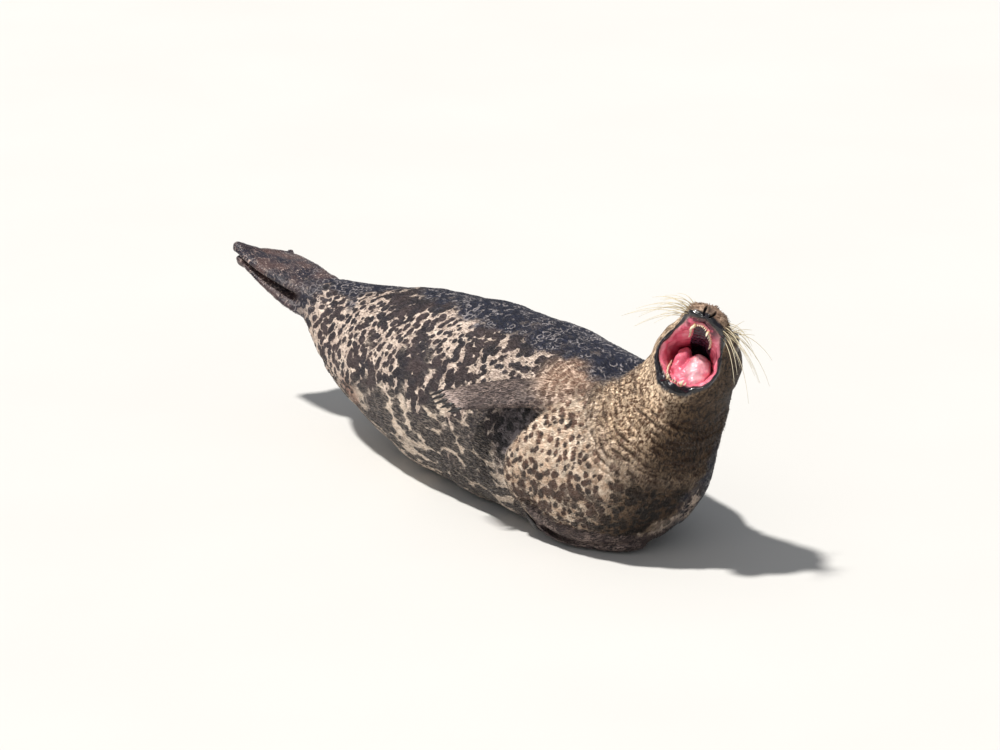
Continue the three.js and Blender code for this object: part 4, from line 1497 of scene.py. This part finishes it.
class Roots:
    """Random places on the skin's faces, with all that the skin holds there."""

    def __init__(self, skin, marks, coat, bare):
        mesh = skin.data
        mesh.calc_loop_triangles()
        corners = np.empty(len(mesh.loop_triangles) * 3, np.int32)
        mesh.loop_triangles.foreach_get("vertices", corners)
        self.corners = corners.reshape(-1, 3)
        self.points, self.normals = points_of(mesh), points_of(mesh, "normal")
        self.at = Places(self.points)
        a, b, c = (self.points[self.corners[:, i]] for i in range(3))
        self.area = np.linalg.norm(np.cross(b - a, c - a), axis=1) / 2
        self.marks, self.coat, self.bare = marks, coat, bare
        self.way = lie_of_coat(self.at, marks)
        self.shares = self.parts()

    def parts(self):
        """How much of each coat piece stands at each point."""
        at, bare = self.at, self.bare
        fur = (1 - bare[:, 1]) * (1 - bare[:, 2]) * ease(self.points[:, 2], 0.001, 0.004)
        nose = ease(at.ahead, 131, 137) * ease(np.abs(at.side), 17, 12) * ease(at.up, -16, -10)
        fur = fur * (1 - 0.9 * nose * ease(at.up, 22, 16))
        fur = fur * (1 - 0.95 * bare[:, 0] * ease(self.points[:, 0], -0.45, -0.52))
        limb = bare[:, 0]
        head = ease(at.from_joint, 0.135, 0.11)
        neck = ease(at.from_joint, 0.32, 0.27) * (1 - head)
        rest = (1 - head) * (1 - neck) * (1 - limb)
        chest = ease(at.along, 3.2, 3.6) * ease(-at.dorsal, -0.5, -0.2)
        back = ease(at.dorsal, 0.35, 0.5) * (1 - chest)
        belly = ease(-at.dorsal, 0.1, 0.3) * (1 - chest)
        flank = (1 - chest) * (1 - back) * (1 - belly)
        claw_roots = [claw_line(name, claw)[0] for name in FLIPPERS for claw in CLAWS[name]]
        for root in claw_roots:
            fur = fur * ease(np.linalg.norm(self.points - root, axis=1), 0.011, 0.020)
        around_eyes = sum(ease(past_lids(self.points, side)[0], 24, 27) for side in SIDES) - 1
        return {
            "coat_back": rest * back * fur,
            "coat_flank": rest * flank * fur,
            "coat_belly": rest * belly * fur,
            "coat_chest": rest * chest * fur,
            "coat_neck": neck * fur * (1 - limb),
            "coat_head": head * fur * np.clip(around_eyes, 0, 1),
            "coat_flippers": limb * fur * (1 - head),
        }

    def pick(self, part, count):
        weight = self.area * self.shares[part][self.corners].mean(1)
        weight[weight < weight.max() * 1e-4] = 0
        chosen = rng.choice(len(weight), count, p=weight / weight.sum())
        share = rng.dirichlet((1, 1, 1), count)
        corner = self.corners[chosen]

        def here(values):
            return (values[corner] * share[:, :, None]).sum(1)

        return here


TUFT = {  # its root's three points, its middle's three, and its tip
    "faces": [(0, 1, 4, 3), (1, 2, 5, 4), (2, 0, 3, 5), (3, 4, 6), (4, 5, 6), (5, 3, 6), (0, 2, 1)],
    "flat": 0.34,
    "shade": np.array([0.5, 0.5, 0.6, 0.9, 0.9, 1, 1.1]),
    "patch": 0.003 * np.array(
        [(0, 0), (1, 0), (0.5, 0.1), (0.1, 0.5), (0.9, 0.5), (0.5, 0.5), (0.5, 1)]),
}


def repeated(name, points, faces):
    """One object of a small closed shape with many copies: their points, and one copy's faces."""
    count, corners = points.shape[:2]
    loops = (np.concatenate(faces)[None] + corners * np.arange(count)[:, None]).ravel()
    sizes = np.tile([len(face) for face in faces], count)
    starts = np.concatenate([[0], np.cumsum(sizes)[:-1]])
    mesh = bpy.data.meshes.new(name)
    mesh.vertices.add(count * corners)
    mesh.vertices.foreach_set("co", points.astype(np.float32).ravel())
    mesh.loops.add(len(loops))
    mesh.loops.foreach_set("vertex_index", loops.astype(np.int32))
    mesh.polygons.add(len(sizes))
    mesh.polygons.foreach_set("loop_start", starts.astype(np.int32))
    mesh.polygons.foreach_set("use_smooth", [True] * len(sizes))
    mesh.update(calc_edges=True)
    mesh.validate()
    return in_scene(name, mesh)


def tufts(roots, part, count, long, wide, lift):
    """Thousands of thin closed spikes, which start in the skin and lie over it."""
    here = roots.pick(part, count)
    root, normal, way = here(roots.points), unit(here(roots.normals)), here(roots.way)
    way = way + rng.normal(0, 0.13, way.shape)
    way = unit(way - normal * dot(way, normal)[:, None])
    across = np.cross(normal, way)
    size = rng.uniform(0.65, 1.25, count)
    near = np.ones(count)
    if part == "coat_head":
        near = 0.45 + 0.7 * ease(np.linalg.norm(root - upper_jaw.at(120), axis=1), 0.03, 0.12)
    length = (long * MM * size * near)[:, None]
    width = (wide * MM * rng.uniform(0.7, 1.2, count) * (0.6 + 0.4 * near))[:, None]
    up = (lift * MM * rng.uniform(0.5, 1.3, count) * near)[:, None]
    sway = rng.normal(0, 0.10, count)[:, None] * length
    start = root - normal * 0.7 * MM
    middle = root + way * length * 0.42 + normal * up * 0.85 + across * sway * 0.5
    tip = root + way * length + normal * up * 0.75 + across * sway
    low = across * width * 0.36
    points = np.stack([
        start - low, start + low, start + normal * width * 0.3 - way * width * 0.3,
        middle - across * width * 0.5, middle + across * width * 0.5,
        middle + normal * width * TUFT["flat"], tip,
    ], 1)
    points[..., 2] = np.maximum(points[..., 2], 0.15 * MM)
    tuft = repeated(part, points, TUFT["faces"])
    mesh, corners = tuft.data, len(TUFT["shade"])
    # the markings at the root, and a shade of its own for each tuft
    paint(mesh, "coat", np.repeat(here(roots.coat), corners, axis=0))
    paint(mesh, "bare", np.repeat(here(roots.bare), corners, axis=0))
    paint_number(mesh, "fold", fold_marks(points.reshape(-1, 3)))
    shade = rng.uniform(0.0, 1.0, count)[:, None] * TUFT["shade"]
    paint_number(mesh, "tint", np.clip(shade, 0, 1).ravel())
    # each tuft is a small patch of the map, at its root's place on the unwrap
    marks = {name: here(roots.marks[name][:, None])[:, 0] for name in FLIPPERS}
    place = coat_unwrap(Places(root), marks)
    spread = (place[:, None] + TUFT["patch"][None]).reshape(-1, 2)
    of_loops = np.empty(len(mesh.loops), np.int32)
    mesh.loops.foreach_get("vertex_index", of_loops)
    layer = mesh.uv_layers.new(name="OFBake")
    layer.uv.foreach_set("vector", spread[of_loops].astype(np.float32).ravel())
    return tuft


# ---- the whole animal ------------------------------------------------------------------------
def wear(piece, material, slot, *nodes):
    """Gives a piece its material, and the CAD nodes that it stands in for; the slot is not used."""
    piece.data.materials.clear()
    piece.data.materials.append(material)
    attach(piece, "root")
    if nodes:
        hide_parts(*nodes)


skin, marks = shaped_skin()
coat, bare = zones(points_of(skin.data), marks)
paint(skin.data, "coat", coat)
paint(skin.data, "bare", bare)
paint_number(skin.data, "fold", fold_marks(points_of(skin.data)))
wear(skin, skin_look(), "coat", *FLESH)

tuft_material = tuft_look()
roots = Roots(skin, marks, coat, bare)
for part, (count, long, wide, lift) in COAT.items():
    wear(tufts(roots, part, count, long, wide, lift), tuft_material, "coat")

eye_material, horn, whisker_material = eye_look(), claw_look(), whisker_look()
skin_tree = tree_of(skin.data)
for side in SIDES:
    wear(eyeball(side), eye_material, "eye", f"{side}_eye")
    wear(whiskers(side, skin_tree), whisker_material, "coat")
for name in FLIPPERS:
    wear(claws(name), horn, "claw", *CLAWS[name])
gum_material, enamel = gum_look(), tooth_look()
for jaw in ARCHES:
    gum, teeth = row_of_teeth(jaw, skin_tree)
    wear(gum, gum_material, "gum", f"{jaw}_gums")
    wear(teeth, enamel, "gum")
wear(tongue(), tongue_look(), "tongue", "tongue")


# ---- floor, light and camera -----------------------------------------------------------------
def floor_look():
    """A plain pale floor, with a breath of unevenness in its tone."""
    look = Look("pale_floor", {"Roughness": 0.9})
    tone = look.noise(look.place, 1.5, 2)
    return look.finish(look.blend(tone, rgb(214, 213, 210), rgb(220, 219, 216)))


select()
bpy.ops.mesh.primitive_plane_add(size=60, location=(0, 0, -0.0005))
floor = bpy.context.active_object
floor.name = "studio_floor"
bpy.ops.object.transform_apply(location=True)
floor.data.materials.append(floor_look())

world = bpy.data.worlds.new("soft_room")
world.use_nodes = True
sky = world.node_tree.nodes["Background"].inputs
sky["Color"].default_value = (0.92, 0.95, 1.0, 1)
sky["Strength"].default_value = 0.30
bpy.context.scene.world = world


def turned_to(direction):
    """The turn that points a lamp's or a camera's back this way."""
    return Vector(direction).to_track_quat("Z", "Y").to_euler()


def sun(name, direction, strength, angle, colour):
    lamp = bpy.data.lights.new(name, "SUN")
    lamp.energy, lamp.angle, lamp.color = strength, angle, colour
    in_scene(name, lamp).rotation_euler = turned_to(direction)


# The camera stands 60 degrees round from the front and 18 degrees up.
camera_right = np.array([0.5, 0.8660254, 0.0])
camera_back = unit(np.array([0.8237, -0.4755, 0.3090]))
camera_up = np.cross(camera_back, camera_right)
CAMERA_FAR = 8  # metres from the middle of the chest
LENS, SENSOR = 150.6, 36  # millimetres
AIM_RIGHT, AIM_UP = -0.02677, 0.01793  # slopes by which it looks past the chest
towards_sun = np.array([0.18, -0.104, 0]) - camera_right * 0.38 + np.array([0, 0, 1.0])
sun("key_light", towards_sun, 4.0, 0.07, (1.0, 0.97, 0.93))
sun("fill_light", camera_back + camera_up * 0.2 - camera_right * 0.45, 0.26, 0.8, (1.0, 0.98, 0.96))

chest_middle = jaw_joint + np.array([-0.280, -0.017, -0.252])
lens = bpy.data.cameras.new("museum_camera")
lens.sensor_width, lens.lens, lens.clip_end = SENSOR, LENS, 200
camera = in_scene("museum_camera", lens)
camera.location = Vector(chest_middle + camera_back * CAMERA_FAR)
camera.rotation_euler = turned_to(camera_back - camera_right * AIM_RIGHT - camera_up * AIM_UP)
bpy.context.scene.camera = camera
bpy.context.scene.view_settings.view_transform = "Standard"
